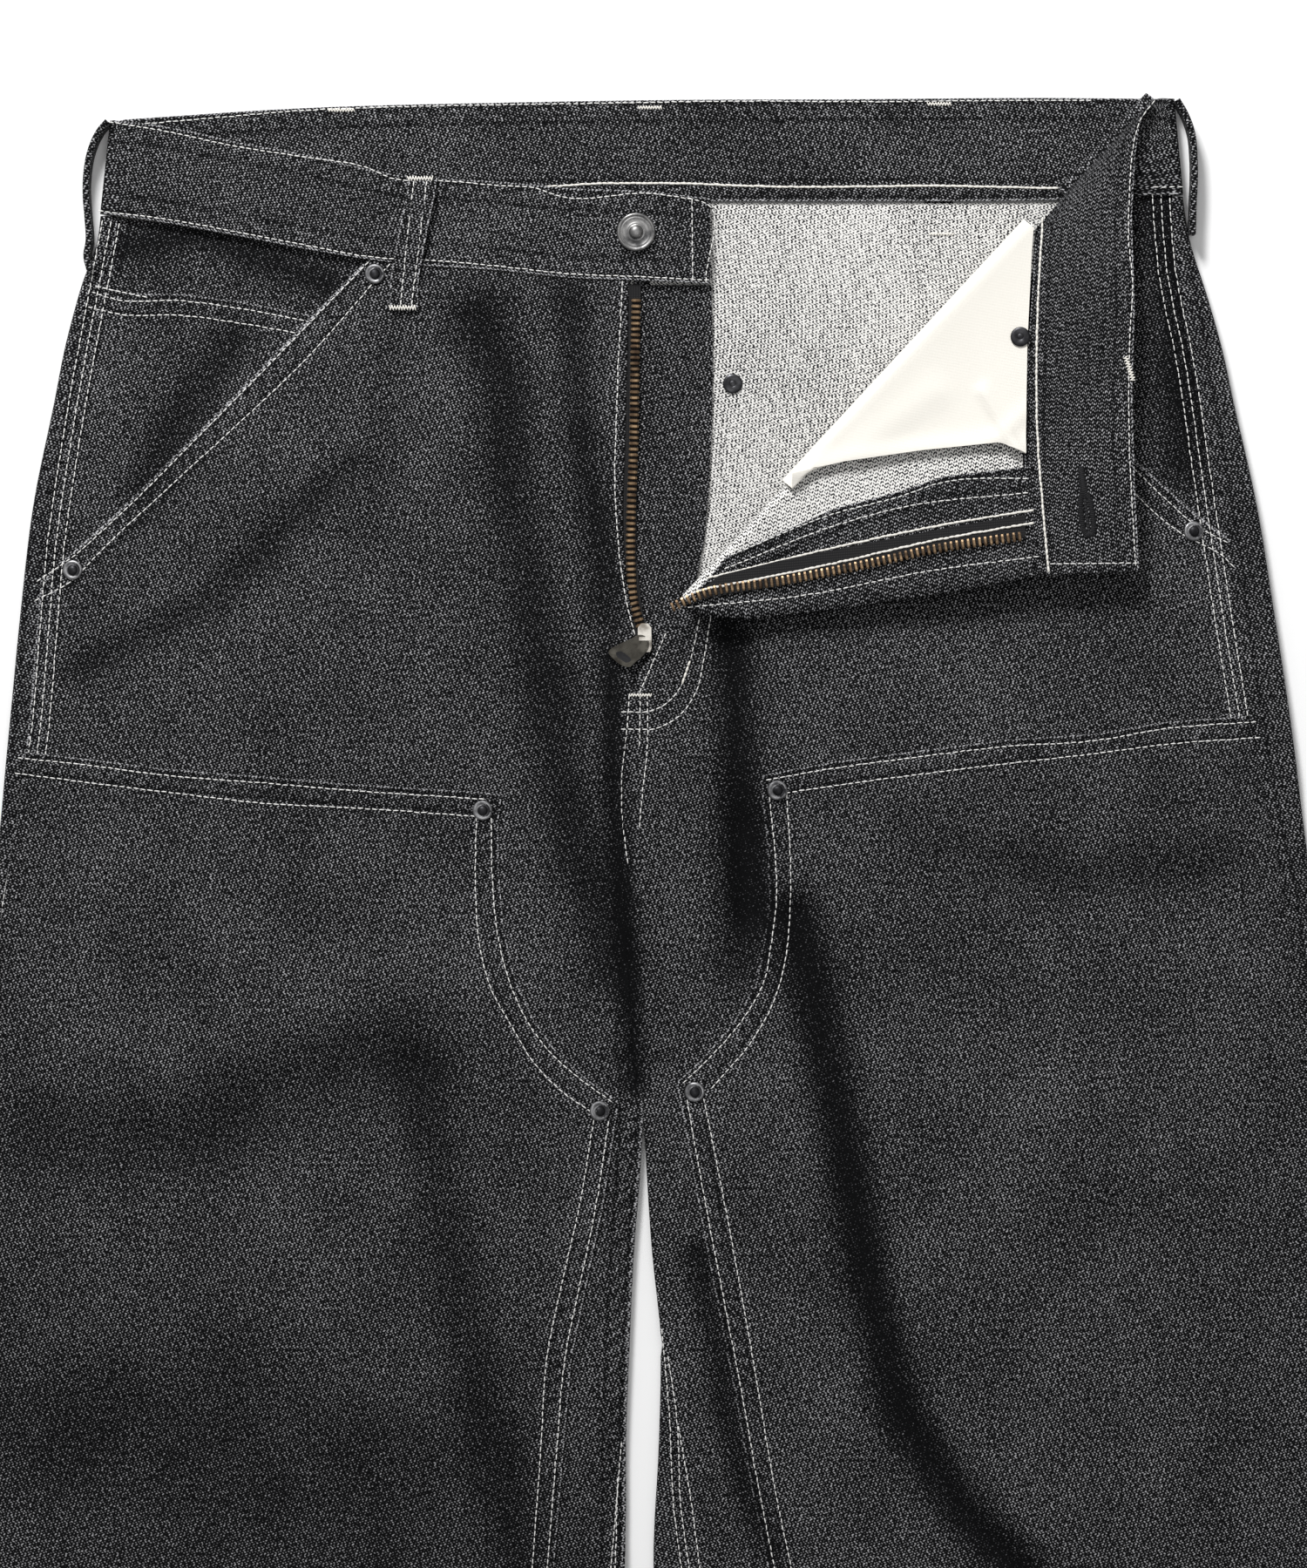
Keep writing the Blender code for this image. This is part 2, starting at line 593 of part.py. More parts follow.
def make_knee_patches(denim, right_mid, lower_mid):
    right = [(-330, 241), (-243, 230), (-210, 225.8), (-167, 222.3), (-130, 219.2), (-63.5, 214.6),
             (-65, 204), (-64.6, 181), (-62.7, 157), (-58, 136), (-50, 117), (-39.6, 102.7), (-25, 89.6),
             (-11.9, 80.4), (-13.5, 70.4), (-18.8, 34.2), (-26.2, -1.2), (-32.7, -33.5), (-35.8, -68.8),
             (-40.4, -126), (-46, -200), (-55, -292), (-330, -286)]
    overlay("knee_patch_right", right_mid[6:30], STEP, right, denim)
    left = [(330, 257), (269.6, 249.2), (229, 246.2), (200.8, 241.2), (160, 238.5), (113.8, 232.7),
            (84.2, 228.8), (54.2, 223.1), (54.6, 213.5), (56.9, 191.5), (57.7, 169.2), (55.4, 150.4),
            (51.9, 132.7), (41.5, 115), (28.5, 100), (17.3, 89.2), (18.5, 80), (26.5, 34.2), (33.8, -3.8),
            (42.7, -49.6), (50, -90.8), (56.9, -125.8), (66, -200), (74, -292), (330, -286)]
    overlay("knee_patch_left", lower_mid[6:32], STEP, left, denim)


def make_fly(denim, tape, flap_points):
    level = float(front_mid(0, 400))
    shield = [(-20, 441), (30, 440.8), (30.8, 378.5), (29.2, 346.9), (27.3, 327.7), (24, 311),
              (14, 297), (5, 286), (-8, 284), (-20, 300)]
    prism("fly_shield", shield, level - 2 * STEP - CLOTH / 2, level - 2 * STEP + CLOTH / 2, denim)
    strip = [(-14, 441), (-1.5, 441), (-2.4, 400), (-3.4, 350), (-3.6, 320), (-0.5, 296), (1.5, 290),
             (3.5, 284), (1.5, 278), (-8, 278), (-15, 320), (-15, 400)]
    prism("zip_tape_right", strip, level - STEP - CLOTH / 2, level - STEP + CLOTH / 2, tape)
    facing = [(30, 314), (37.3, 320), (84.2, 340.4), (113.8, 348.1), (132.7, 354.6), (176, 359.6),
              (176, 322), (128.5, 316), (98.8, 309), (60.8, 302), (32, 299.5)]
    overlay("fly_facing", flap_points, STEP, facing, denim, low=5)
    strip = [(38, 313), (60, 318.5), (98, 326), (140, 334), (165, 338), (165, 328.3), (128.5, 323),
             (98.8, 316.4), (60.8, 309.1), (38, 305)]
    overlay("zip_tape_left", flap_points, 2 * STEP, strip, tape, low=5)


def ribbon(name, path, widths, thick, mat):
    """A belt loop: a strip along path, with width vectors across it."""
    path, widths = np.array(path, float), np.array(widths, float)
    mid = np.stack([path - widths / 2, path + widths / 2], axis=1)
    return wall(name, mid, mat, thick / 2, thick / 2)


def make_belt_loops(denim):
    band_top = back_mid(480) + PANEL_RISE + BAND / 2
    rest = GAP + 0.9
    front = [(-96.5, 487.0, band_top + rest), (-97.6, 480, band_top + rest + 1.4),
             (-100.5, 466, band_top + rest + 2.0), (-103, 453, band_top + rest + 0.8),
             (-103.8, 449, band_top + rest), (-104.6, 444, band_top + rest - 0.5),
             (-105.0, 431.2, band_top + rest - 0.6)]
    ribbon("belt_loop_front_right", front, [(11.8, 0, 0)] * len(front), 1.8, denim)
    for name, x, top in (("belt_loop_back_right", -132.7, 518.5), ("belt_loop_back", 3.5, 521),
                         ("belt_loop_back_left", 131.2, 521.5)):
        half = 6.3
        strip = [(x - half, top - 58), (x + half, top - 58), (x + half, top), (x - half, top)]
        prism(name, strip, 0, PATCH_THICK, denim)
    side_left = [(-236.2, 513.3), (-240.6, 508.3), (-244.6, 500), (-246.1, 490), (-246.2, 480),
                 (-246.0, 470), (-246.6, 460), (-247.4, 453), (-247.2, 447)]
    side_right = [(236.5, 522.5), (240.3, 516), (243.0, 508), (244.0, 497), (244.1, 486), (244.1, 476),
                  (243.8, 469), (243.4, 463)]
    loop_height = 11.0
    for name, path in (("belt_loop_side_right", side_left), ("belt_loop_side_left", side_right)):
        route = [(x, y, loop_height / 2) for x, y in path]
        ribbon(name, route, [(0, 0, loop_height)] * len(route), 1.8, denim)
    hung = []
    for share in np.linspace(0, 1, 5):
        x = 214.0 - 54 * share
        y = 402.5 - 2 * share
        hung.append((x, y, float(flap_mid(x, y)) - BAND / 2 - GAP - 1.1))
    ribbon("belt_loop_front_left", hung, [(0, 11.8, 0)] * len(hung), 1.6, denim)


def make_metal(antique, gunmetal):
    band_top = back_mid(480) + PANEL_RISE + BAND / 2 + GAP
    face = [(0, 0), (7.4, 0), (8.5, 0.9), (8.5, 2.0), (7.8, 2.6), (6.9, 2.6), (6.3, 2.2), (3.4, 2.2),
            (3.0, 2.5), (2.6, 3.3), (1.5, 3.8), (0, 4.0)]
    turned("waist_button", face, antique, (-2.7, 463.8, band_top), sides=20)
    head = [(0, 0), (4.2, 0), (4.4, 0.5), (4.0, 1.1), (2.9, 1.0), (2.5, 1.2), (2.2, 1.9), (1.2, 2.3), (0, 2.4)]
    disc = [(0, 0), (4.3, 0), (4.4, 0.4), (3.9, 0.9), (0, 1.0)]
    on_panel = CLOTH / 2 + GAP
    for name, x, y, layers in (
            ("rivet_pocket_right_top", -118.0, 444.0, 0), ("rivet_pocket_right_low", -249.0, 315.0, 0),
            ("rivet_pocket_left_low", 244.0, 330.0, 0), ("rivet_patch_right_top", -70.4, 208.8, 1),
            ("rivet_patch_right_low", -19.5, 77.5, 1), ("rivet_patch_left_top", 60.0, 217.0, 1),
            ("rivet_patch_left_low", 24.3, 84.8, 1)):
        ring = [float(front_mid(x + 4 * cos(a), y + 4 * sin(a))) for a in np.linspace(0, 2 * pi, 8)]
        turned(name, head, gunmetal, (x, y, max(ring) + layers * STEP + on_panel), sides=10)
    x, y = 161.5, 416.9
    turned("rivet_back_pocket_bag", disc, gunmetal,
           (x, y, float(flap_mid(x + 3, y - 3)) + 2 * STEP + on_panel + 0.25), sides=14)
    for name, x in (("rivet_back_seat_left", 42.0), ("rivet_back_seat_right", -42.0)):
        turned(name, disc, gunmetal, (x, 397.3, back_mid(397) + on_panel), sides=14)


def make_zip_pull(nickel, dark):
    """The slider at the foot of the zip, and the tab that swings on its staple."""
    tape_top = float(front_mid(0, 400)) - STEP + CLOTH / 2
    low = tape_top + GAP
    high = low + 2.7
    body = [(-1.9, 278.6), (3.4, 278.6), (4.2, 280.5), (4.0, 289.4), (2.6, 291.2), (-0.4, 291.2), (-1.9, 289.4)]
    slider = prism("zip_slider", body, low, high, nickel)
    staple = prism("staple", side_box(PIVOT[0] - 2.6, PIVOT[0] + 2.6, PIVOT[1] - 0.8, PIVOT[1] + 0.8),
                   high - 0.4, high + 3.1)
    hole = prism("staple_hole", side_box(PIVOT[0] - 1.8, PIVOT[0] + 1.8, PIVOT[1] - 2, PIVOT[1] + 2),
                 high, high + 2.1)
    cut(staple, hole, "DIFFERENCE")
    cut(slider, staple, "UNION")

    half = TAB_THICK / 2
    leaf = [(0.7, -2.6), (0.7, 2.6), (-4, 3.4), (-8, 4.4), (-11.5, 4.5), (-14.5, 3.4), (-16.6, 1.2),
            (-16.6, -1.2), (-14.5, -3.4), (-11.5, -4.5), (-8, -4.4), (-4, -3.4)]
    tab = prism("zip_pull", leaf, -half, half, dark)
    eye = [(-0.7, -1.7), (-0.7, 1.7), (-4.6, 1.9), (-4.6, -1.9)]
    window = [(-8.2 - 3.2 * cos(a) - 1.6, 2.0 * sin(a)) for a in np.linspace(0, 2 * pi, 13)[:-1]]
    for name, outline in (("zip_pull_eye", eye), ("zip_pull_window", window)):
        cutter = prism(name, outline, -3, 3)
        cutter.location = [v * MM for v in PIVOT]
        cutter.rotation_euler = (0, -radians(TAB_DROOP), 0)
        cut(tab, cutter, "DIFFERENCE")
    tab.location = [v * MM for v in PIVOT]
    tab.rotation_euler = (0, -radians(TAB_DROOP), 0)


def side_box(x0, x1, y0, y1):
    return [(x0, y0), (x1, y0), (x1, y1), (x0, y1)]


def main():
    for obj in list(bpy.data.objects):
        bpy.data.objects.remove(obj, do_unlink=True)
    denim = material("black_denim", (0.030, 0.031, 0.036), 0.9)
    cotton = material("pocket_cotton", (0.78, 0.75, 0.68), 0.9)
    tape = material("zip_tape", (0.02, 0.02, 0.022), 0.8)
    antique = material("button_metal", (0.35, 0.35, 0.36), 0.35, 1.0)
    gunmetal = material("rivet_metal", (0.12, 0.12, 0.13), 0.4, 1.0)
    nickel = material("slider_metal", (0.6, 0.58, 0.55), 0.3, 1.0)
    dark = material("pull_metal", (0.12, 0.11, 0.10), 0.4, 1.0)
    right_mid, lower_mid, flap_points = make_legs(denim)
    wall("waistband", band_grid(), denim, BAND / 2, BAND / 2)
    make_pockets(denim, cotton, right_mid, lower_mid, flap_points)
    make_knee_patches(denim, right_mid, lower_mid)
    make_fly(denim, tape, flap_points)
    make_belt_loops(denim)
    make_metal(antique, gunmetal)
    make_zip_pull(nickel, dark)


main()
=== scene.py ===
# Carpenter pants in black denim, unzipped and laid flat: cloth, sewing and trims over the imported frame.
# Lengths are millimetres until they reach a mesh. +X is to the viewer's right, +Y towards the waist.
from math import atan2, cos, pi, radians, sin

import bpy
import numpy as np
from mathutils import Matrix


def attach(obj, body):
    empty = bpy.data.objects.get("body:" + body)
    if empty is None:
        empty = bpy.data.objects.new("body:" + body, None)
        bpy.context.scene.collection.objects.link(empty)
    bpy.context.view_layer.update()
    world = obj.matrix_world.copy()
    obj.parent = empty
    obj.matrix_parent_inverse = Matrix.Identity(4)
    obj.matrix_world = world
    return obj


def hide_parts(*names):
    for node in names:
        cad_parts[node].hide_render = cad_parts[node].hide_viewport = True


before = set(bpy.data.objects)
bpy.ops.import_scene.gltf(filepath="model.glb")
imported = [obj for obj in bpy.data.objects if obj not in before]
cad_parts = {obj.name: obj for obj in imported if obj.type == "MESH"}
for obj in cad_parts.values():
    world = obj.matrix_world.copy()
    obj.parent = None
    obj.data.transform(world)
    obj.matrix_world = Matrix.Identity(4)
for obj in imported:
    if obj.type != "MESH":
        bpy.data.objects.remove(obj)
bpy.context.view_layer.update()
mm = 0.001
rng = np.random.default_rng(7)

# The garment's own measures, the same as the solids'
pants = {
    "hemY": -525.0, "hemRise": 13.0, "crotchY": 80.0,
    "cloth": 1.0, "bandThick": 2.4, "layer": 1.3,      # layer: one more thickness of cloth and its gap
    "panelRise": 4.3, "seatLift": 1.9, "seam": 0.3,
    "foldRadius": 3.0, "flapRise": 9.0, "twistLift": 5.5, "loft": 2.2, "lap": 0.95, "deepest": -2.6,
    "legTop": 232, "frontTop": 471, "backTop": 477.6,  # the rows where the legs, the fronts and the seat end
}

# Outline by height: (y, viewer's left, viewer's right)
silhouette = [
    (526, -234.5, 233.0), (510, -235.5, 236.0), (497, -237.5, 237.0), (480, -239.0, 238.5),
    (463, -241.0, 241.0), (436, -249.0, 249.5), (413, -255.0, 256.0), (390, -259.5, 261.0),
    (343, -269.0, 271.5), (297, -274.5, 279.0), (251, -279.0, 286.0), (205, -283.5, 292.0),
    (80, -297.0, 307.0), (-125, -311.0, 318.0), (-325, -318.5, 322.0), (-525, -322.0, 322.0)]
outseamInset = [
    (526, 4.8, 4.8), (470, 4.8, 5.2), (443, 5.0, 10.0), (376, 6.0, 15.0), (290, 8.5, 18.0), (220, 8.5, 17.0),
    (180, 6.0, 14.0), (76, 5.0, 13.0), (-525, 5.0, 12.0)]
innerEdge = [
    (80, 0.0, 0.0), (66, -0.8, 1.9), (43, -2.3, 3.8), (20, -4.2, 5.4), (-26, -6.5, 8.1), (-72, -8.1, 7.3),
    (-118, -7.5, 5.0), (-170, -9.5, 6.5), (-250, -15.5, 14.0), (-380, -28.0, 27.0), (-525, -48.0, 43.0)]
inseamInset = [
    (80, 4.5, 4.5), (-20, 4.5, 4.8), (-57, 4.5, 8.0), (-101, 4.5, 11.5), (-126, 4.8, 15.0), (-525, 5.5, 20.0)]
visibleInseam = [                                      # how far in the front's sewn edge lies
    (80, 0.3, 0.3), (0, 0.3, 0.3), (-26, 0.3, 2.0), (-57, 0.3, 7.0), (-101, 0.8, 11.5), (-126, 2.0, 15.0),
    (-525, 5.5, 20.0)]
centreRight = [
    (443, -6.5), (413, -7.0), (368, -8.2), (336, -9.0), (320, -8.2), (297, -5.0), (281, -3.8), (266, -4.2),
    (250, -5.0), (235, -5.6), (220, -6.0), (186, -6.8), (140, -4.5), (80, 0.0)]
centreLeft = [
    (301.2, 20.4), (291, 13.5), (279, 5.5), (268, -1.5), (258, -4.2), (250, -5.0), (235, -5.6), (220, -6.0),
    (186, -6.8), (140, -4.5), (80, 0.0)]
# Waistband by place across: (x, lower edge, upper edge)
bandFront = [
    (-236, 472.0, 513.3), (-210, 468.1, 510.4), (-178, 462.3, 503.5), (-148, 456.5, 498.0),
    (-109, 450.4, 489.2), (-61, 446.9, 486.0), (-31, 443.8, 483.2), (0, 442.7, 482.0), (30, 441.2, 478.8)]
bandBack = [
    (-236, 472.0, 513.5), (-150, 475.5, 519.0), (-60, 477.5, 521.5), (0, 478.0, 522.5), (100, 478.0, 523.0),
    (180, 478.5, 523.5), (234, 480.5, 523.0)]

# The fold of the turned-out left front runs from the foot of the zip to the waistband's top edge
foldFoot = np.array([20.4, 301.2])
foldSeam = np.array([186.0, 480.0])
foldTop = np.array([225.0, 522.1])
foldPanel = np.array([172.5, 465.5])
foldWay = (foldSeam - foldFoot) / np.linalg.norm(foldSeam - foldFoot)
foldOut = np.array([-foldWay[1], foldWay[0]])
flapFly = [
    (26.5, 294.8), (46, 294.2), (84, 298.1), (128, 304.6), (170, 312.0)]
flapWaist = [
    (170, 312.0), (167.8, 340), (167, 372), (168.5, 405), (170.6, 436), (171.6, 446)]
# Its waistband: (seam x, seam y, top x, top y)
flapBand = [
    (180.0, 472.5, 219.0, 512.0), (172.9, 461.0, 217.0, 497.0), (171.4, 438, 215.4, 470),
    (168.9, 404, 216.4, 430), (167.4, 373, 215.0, 393), (168.2, 340, 216.0, 352), (170.4, 312, 217.9, 314)]

# Soft folds of the fronts: a spine of points, half its width, its height, how much painted shade its hollow
# gets
softFolds = [
    ([(-73, 428), (-61, 399), (-58, 347), (-50, 313), (-38, 243), (-30, 197), (-12, 140)], 12, -2.6, 0.55),
    ([(-30, 434), (-27, 376), (-18, 324), (-16, 295)], 8, -2.2, 0.55),
    ([(-14, 278), (-12.5, 220), (-7, 151), (-3, 88)], 5, -2.6, 0.9),
    ([(38, 290), (41, 266), (44, 209), (46, 163)], 9, -2.8, 0.9),
    ([(46, 200), (50, 160), (44, 140)], 12, -2.0, 0.5),
    ([(68, 163), (86, 76), (100, 1), (114, -56), (143, -103), (170, -130)], 10, -3.4, 1.0),
    ([(25, 13), (40, -68), (57, -120)], 6, -2.0, 0.6),
    ([(-237, 457), (-197, 463), (-139, 442)], 7, -2.0, 0.6),
    ([(-180, 416), (-203, 382), (-220, 347)], 10, -1.6, 0.4),
    ([(-266, 59), (-197, 59), (-156, 88), (-105, 105)], 22, -2.6, 0.3),
    ([(-99, 93), (-84, 18), (-70, -56), (-53, -126)], 13, -2.4, 0.4),
    ([(-280, -60), (-120, -90)], 50, -1.6, 0.35),
    # painted shadow: this hollow's painted shade stands for the shadow that the turned-out flap casts beside
    # it
    ([(232, 503), (236, 451), (240, 364)], 12, -0.8, 0.8),
    ([(120, 197), (195, 174), (259, 185)], 14, -1.6, 0.22),
    ([(-112, 410), (-118, 330)], 9, -1.0, 0.2),
    ([(-250, 270), (-190, 300), (-130, 360)], 8, -1.2, 0.35),
    ([(-2, 250), (2, 180), (4, 120)], 7, 1.6, 0),
    ([(70, 140), (90, 60), (104, -10)], 5, 0.6, 0),
    ([(-255, 95), (-120, 112)], 22, 1.6, 0),
    ([(-200, -230), (-90, -200)], 22, -1.5, 0.3),
    ([(-180, -270), (-110, -250)], 20, 2.2, 0),
    ([(-120, -330), (-90, -470)], 18, -1.5, 0.3),
    ([(110, -215), (230, -240)], 22, -1.5, 0.3),
    ([(130, -262), (210, -275)], 20, 2.2, 0),
    ([(230, -320), (215, -470)], 18, -1.5, 0.3),
    ([(150, 215), (230, 190)], 26, 1.5, 0),
    ([(-220, 190), (-120, 180)], 28, 1.6, 0),
    ([(-170, 240), (-150, 330)], 30, 1.2, 0),
    ([(180, 60), (200, 130)], 40, 1.8, 0)]


def curve(table, column, at):
    # smooth value of one column of a table, read at one or many places along its first column
    rows = np.array(sorted(table), float)
    xs, ys = rows[:, 0], rows[:, column]
    slope = np.gradient(ys, xs)
    at = np.clip(np.asarray(at, float), xs[0], xs[-1])
    k = np.clip(np.searchsorted(xs, at) - 1, 0, len(xs) - 2)
    h = xs[k + 1] - xs[k]
    t = (at - xs[k]) / h
    return ((2 * t**3 - 3 * t**2 + 1) * ys[k] + (t**3 - 2 * t**2 + t) * h * slope[k]
            + (3 * t**2 - 2 * t**3) * ys[k + 1] + (t**3 - t**2) * h * slope[k + 1])


def ease(t):
    t = np.clip(t, 0, 1)
    return t * t * (3 - 2 * t)


def runAlong(points):
    # how far along a line of points each one is
    return np.concatenate([[0], np.cumsum(np.linalg.norm(np.diff(points, axis=0), axis=1))])


def evenly(points, count):
    # evenly spaced points along a line of points
    pts = np.array(points, float)
    run = runAlong(pts)
    at = np.linspace(0, run[-1], count)
    return np.column_stack([np.interp(at, run, pts[:, k]) for k in range(pts.shape[1])])


def nearLine(x, y, line):
    # distance from each place to a line of points, and how far along the line that is
    best = np.full(np.shape(x), 1e9)
    run = np.zeros(np.shape(x))
    gone = 0.0
    for (x0, y0), (x1, y1) in zip(line, line[1:]):
        length = max(np.hypot(x1 - x0, y1 - y0), 1e-6)
        t = np.clip(((x - x0) * (x1 - x0) + (y - y0) * (y1 - y0)) / length**2, 0, 1)
        away = np.hypot(x - x0 - t * (x1 - x0), y - y0 - t * (y1 - y0))
        run = np.where(away < best, gone + t * length, run)
        best = np.minimum(best, away)
        gone += length
    return best, run


def backMid(y):
    return pants["cloth"] / 2 + pants["seatLift"] * ease((np.asarray(y, float) - 205) / 27)


def foldHeight(x, y):
    # a hollow is flanked by two low ridges
    total = np.zeros(np.broadcast(x, y).shape)
    for spine, width, height, dark in softFolds:
        away = nearLine(x, y, spine)[0] / width
        total += height * np.exp(-away**2) * (1 - 0.7 * away**2)
    return total


def paintedFoldShade(x, y):
    # painted shade: how much the cloth's colour is darkened in the hollows of the soft folds, where shade
    # falls
    total = np.zeros(np.broadcast(x, y).shape)
    for spine, width, height, dark in softFolds:
        total += dark * np.exp(-((nearLine(x, y, spine)[0] / width) ** 2))
    return np.clip(total, 0, 1.2)


def frontMid(x, y):
    x, y = np.asarray(x, float), np.asarray(y, float)
    left, right = curve(silhouette, 1, y), curve(silhouette, 2, y)
    fromSide = ease((np.minimum(x - left, right - x) - 8) / 25)
    fromWaist = ease((445 - y) / 30)
    fromZip = ease((np.abs(x - 8) - 22) / 22) * (y > 240) + (y <= 240)
    fromHem = ease((y - pants["hemY"]) / 60)
    fromGap = ease((np.abs(x) - 8) / 14) * (y < 100) + (y >= 100)
    lift = foldHeight(x, y) * fromSide * fromWaist * fromZip * fromHem * fromGap
    foot = pants["twistLift"] * np.exp(-((x - 20) ** 2 + (y - 298) ** 2) / 22.0**2) * ease((x + 2) / 10)
    loft = pants["loft"] * ease((np.minimum(x - left, right - x) - 8) / 45) * ease((430 - y) / 60)
    loft = loft * fromZip * fromGap * ease((fromFold(x, y) - 4) / 40)
    return backMid(y) + pants["panelRise"] + np.maximum(loft + lift, pants["deepest"]) + foot


def fromFold(x, y):
    # how far a place is from the fold of the turned-out front, measured on the table side
    return nearLine(x, y, [foldFoot, foldTop])[0]


def overFold(x, y):
    over = -((x - foldFoot[0]) * foldOut[0] + (y - foldFoot[1]) * foldOut[1])
    return over, x + over * foldOut[0], y + over * foldOut[1]


def flapMid(x, y):
    over, footX, footY = overFold(np.asarray(x, float), np.asarray(y, float))
    return frontMid(footX, footY) + 2 * pants["foldRadius"] + pants["flapRise"] * ease(over / 105)


def flapCloth(xy):
    # where a place on the turned-out front lies in the unfolded cloth
    over, footX, footY = overFold(xy[..., 0], xy[..., 1])
    out = over + pi * pants["foldRadius"]
    return np.stack([footX + foldOut[0] * out, footY + foldOut[1] * out], axis=-1)


def lapRise(x, y):
    # the left front laps over the right one at the centre seam
    x, y = np.asarray(x, float), np.asarray(y, float)
    edge = frontInner(2, y)
    reach = ease((y - 84) / 10) * ease((272 - y) / 10) * ease(x - edge + 1.2)
    return pants["lap"] * np.exp(-((x - edge) / 6) ** 2) * reach


# What the sewing and the trims lie on: the height of its top face
surfaces = {
    "front": lambda x, y: frontMid(x, y) + 0.5 + lapRise(x, y),
    "patch": lambda x, y: frontMid(x, y) + pants["layer"] + 0.5,
    "coin": lambda x, y: frontMid(x, y) - pants["layer"] + 0.5,
    "facing": lambda x, y: frontMid(x, y) - 2 * pants["layer"] + 0.5,
    "back": lambda x, y: backMid(y) + 0.5 + 0 * np.asarray(x, float),
    "band": lambda x, y: backMid(480) + pants["panelRise"] + 1.2 + 0 * np.asarray(x, float),
    "bandInside": lambda x, y: pants["seatLift"] + pants["bandThick"] + 0 * np.asarray(x, float),
    "flap": lambda x, y: flapMid(x, y) + 0.5,
    "flapFacing": lambda x, y: flapMid(x, y) + pants["layer"] + 0.5,
    "flapTape": lambda x, y: flapMid(x, y) + 2 * pants["layer"] + 0.5,
    "flapBand": lambda x, y: flapMid(x, y) + 1.2,
    "bag": lambda x, y: flapMid(x, y) + 2 * pants["layer"] + 0.5,
    "tape": lambda x, y: backMid(400) + pants["panelRise"] - pants["layer"] + 0.5 + 0 * np.asarray(x, float),
}


# Shader maths and nodes

class Number:
    # one value in a material; Python's own operators add its Math nodes
    def __init__(self, finish, socket):
        self.finish, self.socket = finish, socket

    def maths(self, operation, *others, flip=False):
        parts = [self, *others][::-1] if flip else [self, *others]
        node = self.finish.node("Math", {"operation": operation}, dict(enumerate(parts)))
        return Number(self.finish, node.outputs[0])

    def __add__(self, other):
        return self.maths("ADD", other)

    def __sub__(self, other):
        return self.maths("SUBTRACT", other)

    def __rsub__(self, other):
        return self.maths("SUBTRACT", other, flip=True)

    def __mul__(self, other):
        return self.maths("MULTIPLY", other)

    def __truediv__(self, other):
        return self.maths("DIVIDE", other)

    __radd__, __rmul__ = __add__, __mul__

    def wave(self):
        return (self * (2 * pi)).maths("COSINE") * 0.5 + 0.5

    def step(self, low, high):
        node = self.finish.node("MapRange", {"interpolation_type": "SMOOTHSTEP"},
                                {"Value": self, "From Min": low, "From Max": high})
        return Number(self.finish, node.outputs["Result"])


class Finish:
    # one material, and the one way that its nodes are made
    def __init__(self, name, roughness=0.9, metallic=0.0, specular=0.3):
        self.material = bpy.data.materials.new(name)
        self.material.use_nodes = True
        self.tree = self.material.node_tree
        self.shader = self.tree.nodes["Principled BSDF"]
        self.shader.inputs["Roughness"].default_value = roughness
        self.shader.inputs["Metallic"].default_value = metallic
        self.shader.inputs["Specular IOR Level"].default_value = specular

    def feed(self, socket, value):
        if isinstance(value, Number):
            value = value.socket
        if isinstance(value, bpy.types.NodeSocket):
            self.tree.links.new(value, socket)
        else:
            socket.default_value = value

    def node(self, kind, settings=None, values=None):
        node = self.tree.nodes.new("ShaderNode" + kind)
        for key, value in (settings or {}).items():
            setattr(node, key, value)
        for key, value in (values or {}).items():
            self.feed(node.inputs[key], value)
        return node

    def cloth(self):
        # the place in the flat cloth, in millimetres
        split = self.node("SeparateXYZ", values={0: self.node("UVMap", {"uv_map": "cloth"}).outputs[0]})
        return [Number(self, split.outputs[k]) * 1000 for k in (0, 1)]

    def place(self):
        return self.node("TexCoord").outputs["Object"]

    def noise(self, x, y, detail=2.0):
        vector = self.node("CombineXYZ", values={"X": x, "Y": y}).outputs[0]
        node = self.node("TexNoise", values={"Vector": vector, "Scale": 1.0, "Detail": detail})
        return Number(self, node.outputs["Fac"])

    def objectNoise(self, scale, detail=2.0):
        node = self.node("TexNoise", values={"Vector": self.place(), "Scale": scale, "Detail": detail})
        return Number(self, node.outputs["Fac"])

    def attribute(self, name):
        return Number(self, self.node("Attribute", {"attribute_name": name}).outputs["Fac"])

    def mix(self, share, one, other):
        node = self.node("Mix", {"data_type": "RGBA"})
        for socket, value in ((node.inputs["Factor"], share), (node.inputs[6], one), (node.inputs[7], other)):
            self.feed(socket, value)
        return node.outputs[2]

    def colour(self, value):
        self.feed(self.shader.inputs["Base Color"], value)

    def bump(self, height, distance, strength=1.0):
        node = self.node("Bump", values={"Height": height, "Distance": distance, "Strength": strength})
        self.feed(self.shader.inputs["Normal"], node.outputs[0])


denim = {
    "dark": (0.0012, 0.0013, 0.0017, 1), "speck": (0.44, 0.44, 0.455, 1),
    # painted shade: the greyer speck colour used in the fold hollows
    "speckInPaintedShade": (0.16, 0.16, 0.17, 1), "across": 1.62, "along": 2.2, "coverage": (0.47, 0.94),
    "insideLight": (0.80, 0.79, 0.765, 1), "insideDark": (0.012, 0.012, 0.015, 1),
    "insideCoverage": (0.35, 0.58),
    "pucker": 7.4, "puckered": (5.0, 12.0), "stitchRows": (1.7, 9.2),      # measured from a sewn edge
}


